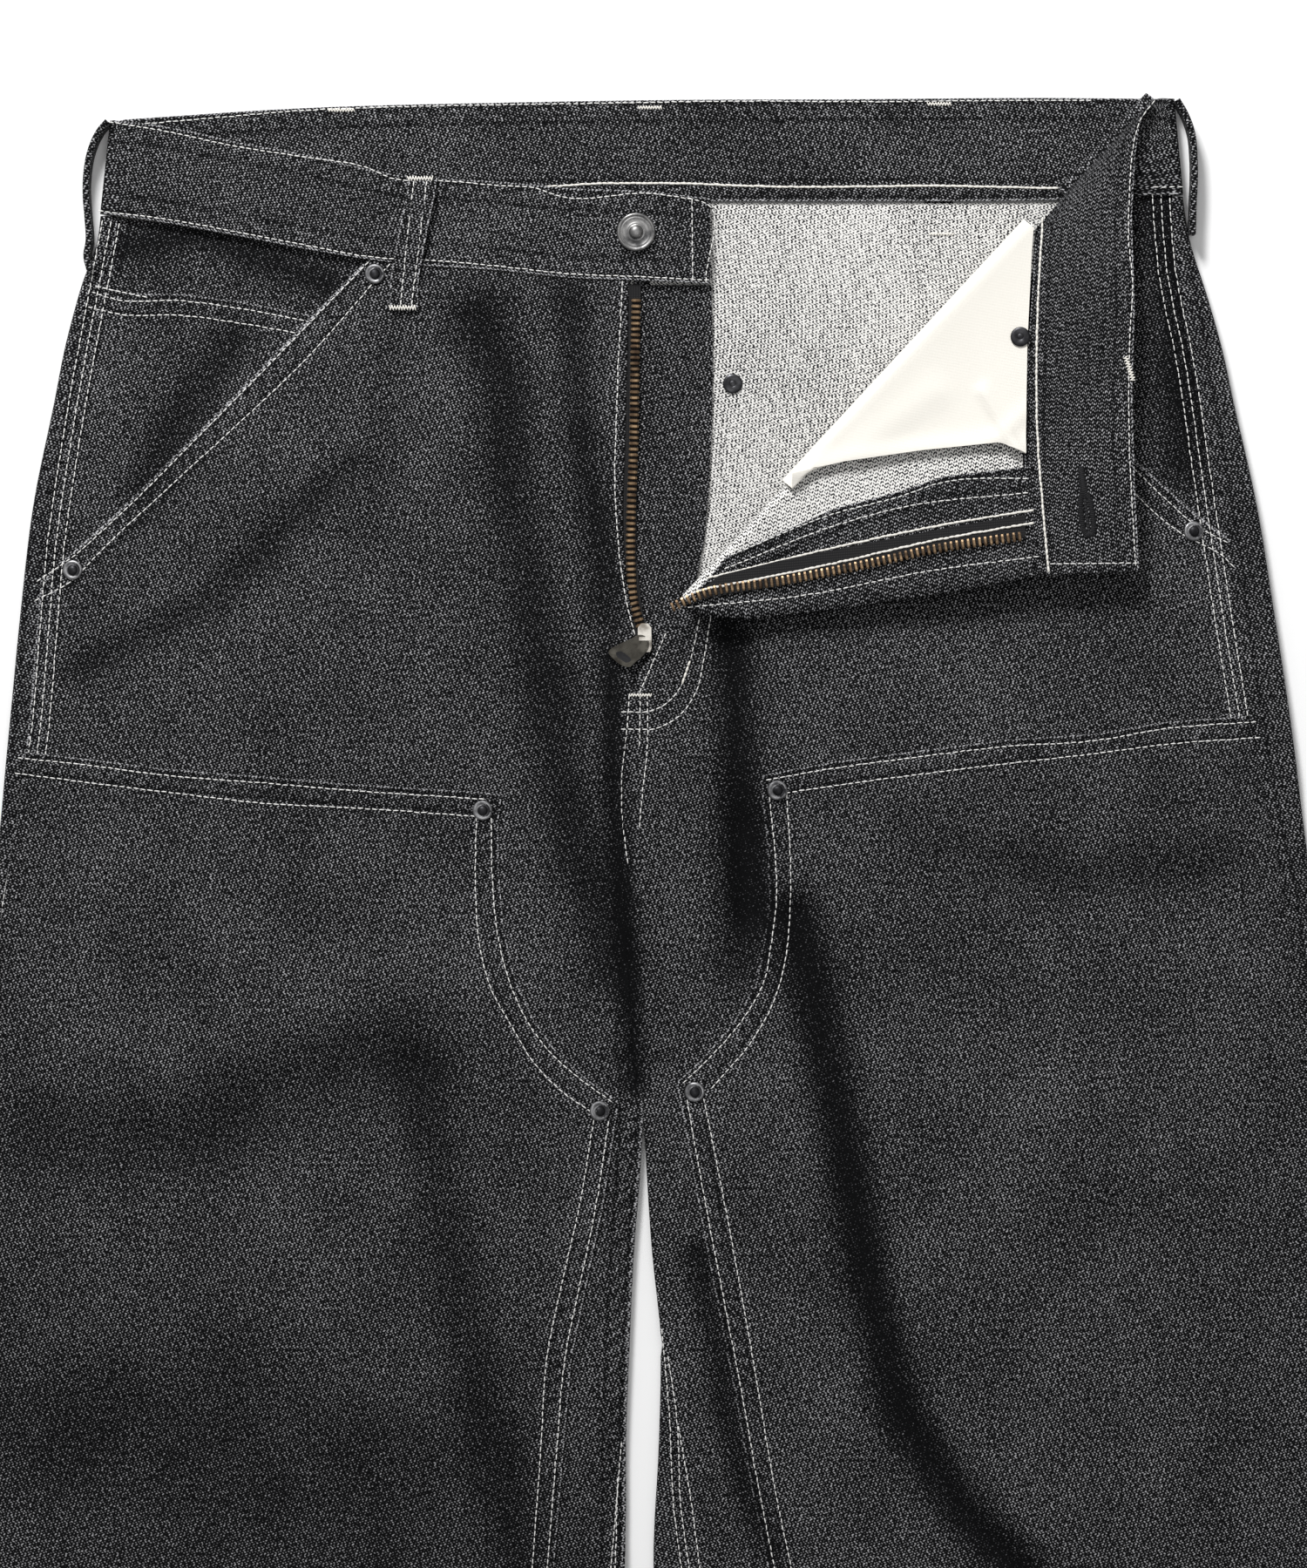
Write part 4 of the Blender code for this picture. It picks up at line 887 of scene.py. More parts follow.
fly = {
    "facingTop": [(20.2, 301.6), (28.5, 310), (37.3, 320.6), (84.2, 341.4), (113.8, 349.1), (132.7, 355.6),
        (172, 359.9)],
    "facingLow": [(20.6, 300.2), (26.3, 294.5), (34, 294.0), (46, 293.6), (84, 297.5), (128, 304.0),
        (171.5, 311.6)],
    "tapeTop": [(25, 305), (34, 312), (60, 318.5), (98, 326), (140, 334), (168, 338.4)],
    "tapeLow": [(24, 301), (36, 303.4), (60.8, 307.6), (98.8, 316.4), (128.5, 323), (168, 328.8)],
    "shieldRight": [(440.8, 30.6), (409, 31.2), (378.5, 30.8), (346.9, 29.2), (327.7, 27.3), (311, 24),
        (297, 17), (286, 14), (258, 6)],
    "tapeRight": [(441, -14, -0.6), (400, -14, -1.4), (350, -14, -2.4), (320, -14, -2.6), (296, -12, 0.2),
        (290, -10, 2.2), (284, -8, 3.8), (278, -7, 3.6)],
}


def makeFly():
    facing = between(fly["facingLow"], fly["facingTop"], 80, 24)
    mid = lifted(facing, lambda x, y: flapMid(x, y) + pants["layer"])
    mid[0, :, 2] -= 1.6                                # wrapped over the fly's folded edge
    mid[1, :, 2] -= 0.5
    clothSheet("flyFacing", mid, flapCloth(facing) + (0, 300), inside="face", stands=["fly_facing"],
               edges=[fly["facingTop"]])
    tape = between(fly["tapeLow"], fly["tapeTop"], 80, 10)
    mid = lifted(tape, lambda x, y: flapMid(x, y) + 2 * pants["layer"])
    clothSheet("leftZipTape", mid, flapCloth(tape), thick=0.8, face="tape", inside="tape",
               stands=["zip_tape_left"])
    right = np.array(fly["shieldRight"][::-1], float)
    y = np.linspace(258, 440.8, 66)[:, None]
    x = -20 + (np.interp(y, right[:, 0], right[:, 1]) + 20) * np.linspace(0, 1, 24)[None]
    xy = np.dstack([x, y + 0 * x])
    level = float(frontMid(0, 400)) - 2 * pants["layer"]
    clothSheet("flyShield", lifted(xy, lambda x, y: level + 0 * x), xy + (700, 0), inside="face",
               stands=["fly_shield"])
    rows = np.array(fly["tapeRight"][::-1], float)
    y = np.linspace(278, 441, 80)[:, None]
    left, right = np.interp(y, rows[:, 0], rows[:, 1]), np.interp(y, rows[:, 0], rows[:, 2])
    x = left + (right - left) * np.linspace(0, 1, 8)[None]
    xy = np.dstack([x, y + 0 * x])
    clothSheet("rightZipTape", lifted(xy, lambda x, y: level + pants["layer"] + 0 * x), xy, thick=0.9,
               face="tape", inside="tape", stands=["zip_tape_right"])


makeFly()
print("fly made")

bandTop = float(backMid(480)) + pants["panelRise"] + pants["bandThick"] / 2
beltLoops = {
    "frontRight": [(-96.5, 487.4, bandTop + 1.2), (-97.6, 480, bandTop + 2.6), (-100.5, 466, bandTop + 3.2),
                   (-103, 453, bandTop + 2.0), (-103.8, 449, bandTop + 1.2), (-104.6, 444, bandTop + 0.7),
                   (-105.0, 430.6, bandTop + 0.6)],
    "sideRight": [(-235.6, 512.6), (-239.0, 508.6), (-243.0, 500), (-244.9, 490), (-245.2, 480),
                  (-244.4, 470), (-243.9, 460), (-244.9, 453), (-243.6, 447.5)],
    "sideLeft": [(235.8, 522.0), (239.3, 516), (242.2, 508), (243.4, 497), (243.5, 486), (243.0, 476),
                 (242.8, 469), (242.6, 463)],
    "foldedStrip": [(-0.95, 0.6), (-0.95, 3.5), (-0.95, 6.5), (-0.95, 9.2), (-0.8, 9.9), (-0.45, 10.35),
                    (0, 10.5), (0.45, 10.35), (0.8, 9.9), (0.95, 9.2), (0.95, 6.5), (0.95, 3.5), (0.95, 0.6)],
    "back": [("rightBackLoop", "belt_loop_back_right", -132.7, 518.5),
             ("backLoop", "belt_loop_back", 3.5, 521), ("leftBackLoop", "belt_loop_back_left", 131.2, 521.5)],
    "wide": 12.4,
}


def smoothPath(points, count):
    # a rounded line through points, from their own smooth curve
    pts = np.array(points, float)
    run = runAlong(pts)
    at = np.linspace(0, run[-1], count)
    return np.column_stack([curve(list(zip(run, pts[:, k])), 1, at) for k in range(pts.shape[1])])


def makeLoop(name, node, path, acrossWay, thick, count=60):
    path = smoothPath(path, count)
    strip = np.linspace(-0.5, 0.5, 9)
    mid = path[:, None] + np.array(acrossWay, float)[None, None] * strip[None, :, None]
    run = np.broadcast_to(runAlong(path)[:, None], mid.shape[:2])
    wide = np.linalg.norm(acrossWay)
    flat = np.dstack([np.broadcast_to(strip[None] * wide, mid.shape[:2]), -run])
    seam = np.broadcast_to((0.5 - np.abs(strip))[None] * wide, mid.shape[:2])
    return clothSheet(name, mid, flat, thick=thick, inside="face", stands=[node],
                      sewnEdges=(seam, run))


def makeLoops():
    wide = beltLoops["wide"]
    makeLoop("rightFrontLoop", "belt_loop_front_right", beltLoops["frontRight"][::-1], (wide, 0, 0), 1.8)
    for name, node, key in (("rightSideLoop", "belt_loop_side_right", "sideRight"),
                            ("leftSideLoop", "belt_loop_side_left", "sideLeft")):
        path = smoothPath(beltLoops[key], 70)
        way = np.gradient(path, axis=0)
        aside = np.column_stack([way[:, 1], -way[:, 0]]) / np.linalg.norm(way, axis=1)[:, None]
        outs, rises = np.array(beltLoops["foldedStrip"]).T
        mid = np.dstack([path[:, :1] + aside[:, :1] * outs, path[:, 1:] + aside[:, 1:] * outs,
                         np.broadcast_to(rises, (70, len(rises)))])
        mid = mid[:, ::-1]
        run = runAlong(path)[:, None]
        strip = runAlong(np.array(beltLoops["foldedStrip"]))
        flat = np.dstack([np.broadcast_to(strip, mid.shape[:2]), np.broadcast_to(-run, mid.shape[:2])])
        clothSheet(name, mid, flat, thick=1.1, inside="face", stands=[node],
                   sewnEdges=(np.full(mid.shape[:2], 40.0), flat[..., 1]))
    for name, node, x, top in beltLoops["back"]:
        path = [(x, top, 0.8), (x, top - 20, 0.8), (x, top - 58, 0.8)]
        makeLoop(name, node, path, (wide, 0, 0), 1.6, count=30)
    hung = []
    for share in np.linspace(0, 1, 5):
        x, y = 214.0 - 54 * share, 402.5 - 2 * share
        hung.append((x, y, float(flapMid(x, y)) - pants["bandThick"] / 2 - 1.4))
    makeLoop("leftFrontLoop", "belt_loop_front_left", hung, (0, -11.8, 0), 1.6, count=30)


makeLoops()
print("belt loops made")

# Sewing: each line is (what it lies on, its points)
topstitch = {"pitch": 3.1, "long": 2.5, "wide": 0.58, "high": 0.42, "sides": 5, "rings": 4,
             "tripleRows": (-3.75, 0.0, 3.75), "bobbinLong": 1.1}
waistLines = [
    ("band", [(-234.2, 512.3), (-214.6, 509.2), (-178.1, 501.5), (-151.2, 497.3), (-121.5, 492.3),
        (-109.2, 487.3), (-101.9, 486.5), (-91.5, 486.5), (-60.8, 484.2), (-46.2, 483.1), (-37.7, 480.0),
        (5.4, 480.8), (21.2, 478.5)]),
    ("band", [(-238.8, 473.1), (-210.0, 469.6), (-178.1, 463.8), (-148.5, 458.1), (-123.8, 453.5),
        (-109.2, 451.9), (-95.8, 451.5), (-60.8, 448.5), (-31.5, 445.4), (-0.8, 444.2), (28.5, 442.7)]),
    ("band", [(21.2, 478.5), (28.1, 476.5), (28.1, 442.7)]),
    ("band", [(21.9, 477.3), (22.3, 443.5)]),
    ("bandInside", [(-234, 511.6), (-218, 512.3), (-195, 514.2), (-148.8, 518.0), (-102.7, 519.7),
        (-56.5, 520.5), (-10.4, 521.3), (35.8, 522.0), (105, 521.8), (151.2, 522.3), (197.3, 522.4)]),
    ("flapBand", [(225.0, 520.4), (219.2, 512.7), (216.2, 501.9), (214.6, 483.8), (213.8, 462.3),
        (215.4, 439.6), (213.8, 412.7), (213.5, 375.8), (216.2, 317.3)]),
    ("flapBand", [(216.2, 317.3), (180.0, 316.9)]),
    ("band", [(226.5, 483.8), (237.3, 483.8)])]
outseamLines = [
    ("front", "left", [(-234.6, 467.3), (-251.2, 376.5), (-258.8, 325.0), (-261.9, 288.5), (-266.2, 239.2),
        (-274.2, 190.4), (-278.8, 166.2)]),
    ("front", "right", [(228.8, 480.8), (230.0, 462.3), (231.9, 443.8), (238.5, 412.7), (247.7, 351.5),
        (256.9, 290.0), (263.5, 249.6), (267.7, 220.4), (273.5, 194.2), (284.2, 120.8), (289.6, 76.5)])]
pocketLines = [
    ("front", [(-121.5, 450.0), (-194.6, 374.6), (-230.8, 338.8), (-251.5, 320.4), (-266.2, 310.4)]),
    ("front", [(-111.9, 449.2), (-151.5, 404.6), (-183.1, 374.6), (-205.0, 354.6), (-240.4, 321.5),
        (-252.7, 309.2), (-266.9, 301.9)]),
    ("coin", [(-245.4, 438.5), (-231.9, 434.2), (-205.0, 433.8), (-178.1, 430.4), (-147.3, 424.6)]),
    ("coin", [(-243.1, 440.4), (-219.6, 435.4)]),
    ("coin", [(-246.9, 431.5), (-229.6, 427.7), (-203.8, 427.3), (-179.2, 424.2), (-151.2, 419.2)]),
    ("front", [(217.3, 358.8), (231.5, 345.4), (241.5, 336.5), (247.7, 332.3), (257.3, 327.3)]),
    ("front", [(218.1, 347.7), (225.4, 340.4), (238.5, 330.4), (257.3, 320.0), (260.4, 316.9)])]
kneeLines = [
    ("patch", [(-274.2, 231.9), (-243.1, 228.5), (-210.0, 224.2), (-166.9, 220.8), (-130.0, 217.7),
        (-70.8, 213.8)]),
    ("patch", [(-275.4, 225.0), (-243.1, 220.8), (-205.0, 216.2), (-166.9, 211.9), (-130.0, 210.0),
        (-74.6, 206.2)]),
    ("patch", [(-66.5, 204.2), (-66.2, 180.8), (-64.2, 157.3), (-59.6, 136.5), (-51.5, 117.3), (-41.2, 102.7),
        (-26.5, 89.6), (-14.2, 80.8)]),
    ("patch", [(-73.1, 205.0), (-73.5, 173.5), (-71.5, 148.5), (-66.9, 130.8), (-57.3, 113.1), (-47.3, 96.9),
        (-33.8, 83.5), (-23.1, 76.2)]),
    ("patch", [(-15.0, 70.4), (-20.4, 34.2), (-27.7, -1.2), (-34.2, -33.5), (-37.3, -68.8), (-41.9, -125.8)]),
    ("patch", [(-21.5, 71.2), (-27.7, 34.2), (-35.0, 1.9), (-41.9, -31.9), (-44.6, -71.5), (-48.5, -125.8)]),
    ("patch", [(55.8, 222.3), (84.2, 227.3), (113.8, 231.2), (160.0, 236.9), (200.8, 239.6), (229.2, 244.6),
        (269.6, 247.7)]),
    ("patch", [(64.2, 216.5), (101.2, 221.9), (128.5, 225.4), (163.1, 229.6), (194.6, 233.1), (233.5, 238.1),
        (271.2, 240.8)]),
    ("patch", [(56.2, 213.5), (58.5, 191.5), (59.2, 169.2), (56.9, 150.4), (53.5, 132.7), (43.1, 115.0),
        (30.0, 100.0), (18.8, 89.2)]),
    ("patch", [(63.8, 215.0), (65.4, 184.2), (65.4, 169.2), (63.1, 142.7), (57.7, 123.8), (48.8, 107.7),
        (31.2, 86.9)]),
    ("patch", [(20.0, 80.0), (28.1, 34.2), (35.4, -3.8), (44.2, -49.6), (51.5, -90.8), (58.5, -125.8)]),
    ("patch", [(27.3, 80.8), (35.4, 40.4), (44.2, -6.9), (50.4, -42.3), (57.7, -86.2), (65.8, -125.8)])]
flyLines = [
    ("front", [(-8.8, 441.2), (-10.8, 398.1), (-11.5, 339.2), (-6.9, 300.8), (-1.9, 281.5)]),
    ("front", [(-5.8, 258.8), (-6.9, 243.1), (-8.8, 224.6), (-8.8, 206.2), (-6.5, 186.5)]),
    ("front", [(-0.8, 258.8), (-1.2, 238.1)]),
    ("front", [(2.3, 258.8), (2.3, 236.9), (0.4, 218.5), (-1.2, 202.3)]),
    ("front", [(25.0, 291.9), (20.8, 273.5), (18.1, 265.8), (12.7, 257.7), (4.2, 252.7), (-8.1, 252.3)]),
    ("front", [(30.0, 293.1), (27.3, 276.2), (23.8, 261.5), (16.2, 250.4), (6.5, 245.0), (-8.1, 244.6)]),
    ("front", [(10.0, 285.8), (-0.8, 261.5)]),
    ("flapFacing", [(40.0, 321.5), (84.2, 339.2), (113.8, 346.9), (132.7, 353.1), (168.1, 354.6)]),
    ("flapFacing", [(37.3, 315.4), (84.2, 333.8), (113.8, 341.9), (168.1, 348.1)]),
    ("flapFacing", [(21.2, 298.1), (69.6, 303.1), (128.5, 314.2), (172.7, 320.0)])]
seatLines = [                                          # bobbin side of the back pockets' sewing
    ("back", [(37.7, 385), (36.9, 351.2), (35.8, 320.4)]),
    ("back", [(35.4, 385), (34.6, 351.2)]),
    ("back", [(116.9, 477.7), (121.2, 451.2), (125.0, 422.3)]),
    ("back", [(118.9, 477.7), (123.1, 451.2), (126.9, 422.3)])]
insetLines = [
    ("front", [(-9.2, -71.5), (-13.8, -125.8)]),
    ("front", [(-10.8, -87.3), (-11.9, -125.8)]),
    ("front", [(8.8, -21.5), (11.9, -56.9), (14.2, -101.2), (17.3, -125.8)]),
    ("front", [(11.5, -33.5), (15.0, -56.9), (17.3, -101.2), (20.8, -125.8)]),
    ("front", [(16.2, -64.2), (22.3, -101.2), (25.4, -125.8)])]
chainLines = [
    ("bandInside", [(-46.2, 483.8), (-24.2, 485.4), (8.8, 485.8), (62.7, 484.2), (137.7, 484.6),
        (185.0, 483.5)]),
    ("flapBand", [(176.2, 468.5), (174.2, 434.6), (173.5, 374.6), (176.2, 336.2), (178.1, 314.6)]),
    ("flapFacing", [(30.0, 311.2), (84.2, 324.2), (128.5, 333.5), (170.4, 340.4)]),
    ("flapTape", [(25.4, 305.4), (84.2, 317.3), (128.5, 327.3), (170.4, 334.6)]),
    ("front", [(20.8, 273.5), (18.1, 265.8)])]
bartacks = [                                           # what it lies on, both ends, width
    ("loop", [(-103.1, 487.3), (-92.3, 487.3)], 2.4),
    ("loop", [(-111.2, 430.4), (-100.0, 430.4)], 2.4),
    ("bandInside", [(-138.5, 518.1), (-126.9, 518.1)], 1.8),
    ("bandInside", [(-1.5, 519.2), (8.8, 519.2)], 1.8),
    ("bandInside", [(126.2, 520.8), (136.5, 520.8)], 1.8),
    ("back", [(126.9, 463.5), (137.7, 463.5)], 1.5),
    ("flapBand", [(212.3, 407.7), (215.4, 397.3)], 2.6),
    ("front", [(-5.4, 259.6), (4.2, 259.6)], 1.6)]


def stitchShape(plan):
    # one stitch, modelled once: a short rounded length of thread along X
    clear()
    bpy.ops.mesh.primitive_uv_sphere_add(segments=plan["sides"], ring_count=plan["rings"], radius=0.5)
    shape = bpy.context.object
    shape.rotation_euler = (0, pi / 2, 0)
    bpy.ops.object.transform_apply(rotation=True)
    points = np.array([v.co for v in shape.data.vertices])
    faces = [list(f.vertices) for f in shape.data.polygons]
    points[:, 0] = np.sign(points[:, 0]) * (np.abs(points[:, 0]) * 2) ** 0.6 / 2      # blunt ends
    bpy.data.objects.remove(shape)
    return points, faces


def placeCopies(name, points, faces, places, finish, smooth=True):
    # copies of one shape at (centre, direction, side way, size) places, in one mesh
    count = len(points)
    allPoints, allFaces = [], []
    for centre, way, aside, size in places:
        up = np.cross(way, aside)
        basis = np.array([way, aside, up])
        allPoints.append(((points * size) @ basis + centre) * mm)
    for k in range(len(places)):
        allFaces += [[v + k * count for v in f] for f in faces]
    mesh = bpy.data.meshes.new(name)
    mesh.from_pydata(np.concatenate(allPoints).tolist(), [], allFaces)
    mesh.materials.append(finishes[finish])
    if smooth:
        mesh.shade_smooth()
    piece = bpy.data.objects.new(name, mesh)
    bpy.context.scene.collection.objects.link(piece)
    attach(piece, "pants")


def unit(v):
    v = np.asarray(v, float)
    return v / max(np.linalg.norm(v), 1e-9)


loopPath = np.array(beltLoops["frontRight"])


def loopTop(x, y):
    order = np.argsort(loopPath[:, 1])
    return np.interp(y, loopPath[order, 1], loopPath[order, 2]) + 0.9


surfaces["loop"] = loopTop


def stitchPlaces(lines, plan, offsets=(0.0,)):
    places = []
    for surface, points in lines:
        height = surfaces[surface]
        pts = np.array(points, float)
        if len(pts) > 2:
            pts = smoothPath(pts, 60)
        length = np.linalg.norm(np.diff(pts, axis=0), axis=1).sum()
        count = max(2, int(round(length / plan["pitch"])) + 1)
        spots = evenly(pts, count)
        ways = np.gradient(spots, axis=0)
        for k, (x, y) in enumerate(spots):
            way = ways[k] / max(np.linalg.norm(ways[k]), 1e-9)
            turn = rng.normal(0, 0.05)
            way = np.array([way[0] * cos(turn) - way[1] * sin(turn), way[0] * sin(turn) + way[1] * cos(turn)])
            for off in offsets:
                px = x - way[1] * (off + rng.normal(0, 0.07))
                py = y + way[0] * (off + rng.normal(0, 0.07))
                z = float(height(px, py))
                slope = float(height(px + way[0], py + way[1])) - z
                along = unit([way[0], way[1], slope])
                aside = unit([-way[1], way[0], 0])
                size = np.array([plan["long"] * rng.uniform(0.9, 1.08), plan["wide"] * rng.uniform(0.9, 1.1),
                                 plan["high"]])
                places.append((np.array([px, py, z + plan["high"] * 0.22]), along, aside, size))
    return places


def makeTopstitching():
    points, faces = stitchShape(topstitch)
    outseam = []
    for surface, side, line in outseamLines:
        beside = 8.5 if side == "left" else -8.8
        below = [(float(outerX(side, y)) + beside, y) for y in range(int(line[-1][1]) - 40, -516, -60)]
        outseam.append((surface, line + below))
    for name, lines, offsets in (
            ("waistStitching", waistLines, (0.0,)), ("outseamStitching", outseam, topstitch["tripleRows"]),
            ("pocketStitching", pocketLines, (0.0,)), ("kneeStitching", kneeLines, (0.0,)),
            ("flyStitching", flyLines, (0.0,)), ("inseamStitching", insetLines, (0.0,))):
        placeCopies(name, points, faces, stitchPlaces(lines, topstitch, offsets), "thread")
    bobbin = dict(topstitch, long=topstitch["bobbinLong"])
    placeCopies("seatStitching", points, faces, stitchPlaces(seatLines, bobbin), "blackThread")
    loopEdges = [("loop", [(-100.8, 485.0), (-106.5, 432.7)]), ("loop", [(-95.0, 485.0), (-101.5, 432.7)])]
    placeCopies("loopStitching", points, faces, stitchPlaces(loopEdges, topstitch), "thread")
    hems = []
    for side, column, sign in (("left", 1, -1), ("right", 2, 1)):
        outer, inner = float(outerX(side, -510)), float(frontInner(column, np.array(-510.0)))
        xs = np.linspace(outer - sign * 2, inner + sign * 2, 12)
        rise = pants["hemRise"] * (xs - xs[-1]) / (xs[0] - xs[-1])
        hems.append(("front", [(x, -513 + r) for x, r in zip(xs, rise)]))
    for side, key, sign in (("left", "rightInner", 1), ("right", "leftInner", -1)):
        outer, inner = float(outerX(side, -290)), kneePatches[key][-1][1]
        hems.append(("patch", [(outer + sign * 4, -289), (inner - sign * 3, -289)]))
    placeCopies("hemStitching", points, faces, stitchPlaces(hems, topstitch), "thread")


chainStitch = {"pitch": 2.5, "long": 2.9, "wide": 1.15, "high": 0.8, "sides": 6, "rings": 4}
bartack = {"pitch": 0.62, "wide": 0.6, "high": 0.5, "sides": 5, "rings": 4}


def makeHeavyStitching():
    points, faces = stitchShape(chainStitch)
    placeCopies("chainStitching", points, faces, stitchPlaces(chainLines, chainStitch), "heavyThread")
    points, faces = stitchShape(bartack)
    places = []
    for surface, ends, width in bartacks:
        (x0, y0), (x1, y1) = ends
        length = np.hypot(x1 - x0, y1 - y0)
        along = np.array([(x1 - x0) / length, (y1 - y0) / length])
        for s in np.arange(0, length, bartack["pitch"]):
            x, y = x0 + along[0] * s, y0 + along[1] * s
            lean = 0.35 if int(s / bartack["pitch"]) % 2 else -0.35
            sway = rng.normal(0, 0.08, 2)
            way = unit([-along[1] + along[0] * lean + sway[0], along[0] + along[1] * lean + sway[1], 0])
            centre = np.array([x, y, float(surfaces[surface](x, y)) + 0.35])
            places.append((centre, way, np.array([-way[1], way[0], 0]),
                           np.array([width * rng.uniform(0.85, 1.2), bartack["wide"], bartack["high"]])))
    placeCopies("bartacks", points, faces, places, "heavyThread")


buttonhole = {"eye": (192.7, 356.5), "foot": (196.2, 328.6), "wide": 5.6, "depth": 2.7}


def makeButtonhole():
    points, faces = stitchShape(bartack)
    eye, foot = np.array(buttonhole["eye"]), np.array(buttonhole["foot"])
    way = unit(foot - eye)
    aside = np.array([-way[1], way[0]])
    half = buttonhole["wide"] / 2
    length = np.linalg.norm(foot - eye)
    sides = [(-2.5, 0.2), (0, 0.25), (0.3, 0.35), (0.42, 0.9), (0.62, 1.0), (0.88, 1.0), (0.98, 0.5)]
    outline = [eye + way * length * max(s, -0.08) + aside * half * w for s, w in sides]
    outline += [eye + way * length * max(s, -0.08) - aside * half * w for s, w in sides[::-1]] + [outline[0]]
    spots = evenly(outline, 100)
    places = []
    for k, spot in enumerate(spots):
        tangent = unit(spots[(k + 1) % 100] - spots[k - 1])
        out = np.array([tangent[1], -tangent[0]])
        x, y = spot + out * 0.4
        z = float(surfaces["flapBand"](x, y)) + 0.2
        places.append((np.array([x, y, z]), np.array([out[0], out[1], 0]), np.array([-out[1], out[0], 0]),
                       np.array([buttonhole["depth"] * rng.uniform(0.85, 1.1), 0.72, 0.9])))
    slit = [eye + way * s for s in np.linspace(2, np.linalg.norm(foot - eye) - 2, 18)]
    for x, y in slit:
        z = float(surfaces["flapBand"](x, y)) + 0.1
        places.append((np.array([x, y, z]), np.array([aside[0], aside[1], 0]), np.array([way[0], way[1], 0]),
                       np.array([1.7, 1.9, 0.5])))
    placeCopies("buttonholeThread", points, faces, places, "blackThread")


makeTopstitching()
makeHeavyStitching()
makeButtonhole()
print("sewing made")

zipTeeth = {
    "pitch": 2.5, "size": (4.1, 1.45, 1.5), "bevel": 0.2,
    "rightZipTeeth": ("tape", [(-2.7, 433.8), (-3.1, 412.7), (-3.8, 368.5), (-5.0, 335.8), (-5.0, 316.5),
                               (-3.8, 301.2), (-0.8, 290.4)]),
    "leftZipTeeth": ("flapTape", [(13.5, 298.1), (25.4, 303.5), (60.8, 309.6), (98.8, 316.9), (128.5, 323.5),
                                  (165.4, 328.8)]),
}


def makeTeeth():
    clear()
    bpy.ops.mesh.primitive_cube_add(size=1)
    tooth = bpy.context.object
    bpy.ops.object.mode_set(mode="EDIT")
    bpy.ops.mesh.bevel(offset=zipTeeth["bevel"], segments=1)
    bpy.ops.object.mode_set(mode="OBJECT")
    points = np.array([v.co for v in tooth.data.vertices])
    faces = [list(f.vertices) for f in tooth.data.polygons]
    bpy.data.objects.remove(tooth)
    size = np.array(zipTeeth["size"])
    for name in ("rightZipTeeth", "leftZipTeeth"):
        surface, line = zipTeeth[name]
        path = smoothPath(line, 80)
        length = np.linalg.norm(np.diff(path, axis=0), axis=1).sum()
        spots = evenly(path, int(length / zipTeeth["pitch"]) + 1)
        ways = np.gradient(spots, axis=0)
        places = []
        for (x, y), way in zip(spots, ways):
            way = unit([way[0], way[1], 0])
            side = np.array([-way[1], way[0], 0])
            z = float(surfaces[surface](x, y)) + size[2] * 0.35
            places.append((np.array([x, y, z]), side, -way, size))
        placeCopies(name, points, faces, places, "brass", smooth=False)


makeTeeth()

# Button and rivets: half a section is spun into each one
button = {
    "place": (-2.7, 463.8),
    "steps": 64,
    "section": [(0.0, 4.05), (1.2, 3.95), (2.1, 3.6), (2.7, 3.0), (2.95, 2.45), (3.15, 2.2), (3.5, 2.15),
        (3.75, 2.3), (4.0, 2.3), (4.3, 2.15), (5.9, 2.15), (6.2, 2.3), (6.45, 2.3), (6.7, 2.15), (7.0, 2.2),
        (7.35, 2.55), (7.9, 2.6), (8.35, 2.25), (8.5, 1.7), (8.45, 1.0), (8.0, 0.4), (7.2, 0.05),
        (0.0, 0.05)],
}
rivet = {
    "steps": 32, "dome": 2.75,
    "section": [(0.0, 2.4), (0.9, 2.3), (1.6, 2.0), (2.05, 1.5), (2.25, 1.0), (2.5, 0.85), (2.9, 0.95),
        (3.4, 1.15), (3.9, 1.1), (4.3, 0.75), (4.42, 0.35), (4.2, 0.05), (0.0, 0.05)],
}
rivetDisc = {
    "steps": 32,
    "section": [(0.0, 0.95), (1.0, 0.9), (1.3, 0.75), (1.6, 0.9), (3.4, 0.9), (4.0, 0.8), (4.35, 0.45),
        (4.3, 0.05), (0.0, 0.05)],
}


def spunPiece(name, plan, place, finish, node, tilt=(0, 0), middle=None):
    clear()
    section = plan["section"]
    bpy.ops.mesh.primitive_circle_add(vertices=3, radius=mm)
    piece = bpy.context.object
    piece.name = piece.data.name = name
    mesh = piece.data
    mesh.clear_geometry()
    links = [(k, k + 1) for k in range(len(section) - 1)]
    mesh.from_pydata([(r * mm, 0, z * mm) for r, z in section], links, [])
    bpy.ops.object.mode_set(mode="EDIT")
    bpy.ops.mesh.select_all(action="SELECT")
    bpy.ops.mesh.spin(steps=plan["steps"], angle=2 * pi, center=(0, 0, 0), axis=(0, 0, 1))
    bpy.ops.mesh.select_all(action="SELECT")
    bpy.ops.mesh.remove_doubles(threshold=0.00002)
    bpy.ops.mesh.normals_make_consistent(inside=False)
    bpy.ops.object.mode_set(mode="OBJECT")
    piece.location = [v * mm for v in place]
    piece.rotation_euler = (tilt[0], tilt[1], 0)
    bpy.ops.object.transform_apply(location=True, rotation=True, scale=True)
    bpy.ops.object.shade_smooth_by_angle(angle=radians(50))
    piece.data.materials.append(finishes[finish])
    if middle:
        piece.data.materials.append(finishes[middle])
        for face in piece.data.polygons:
            away = (face.center.xy - piece.data.vertices[0].co.xy).length
            face.material_index = int(away < plan["dome"] * mm)
    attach(piece, "pants")
    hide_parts(node)
    return piece


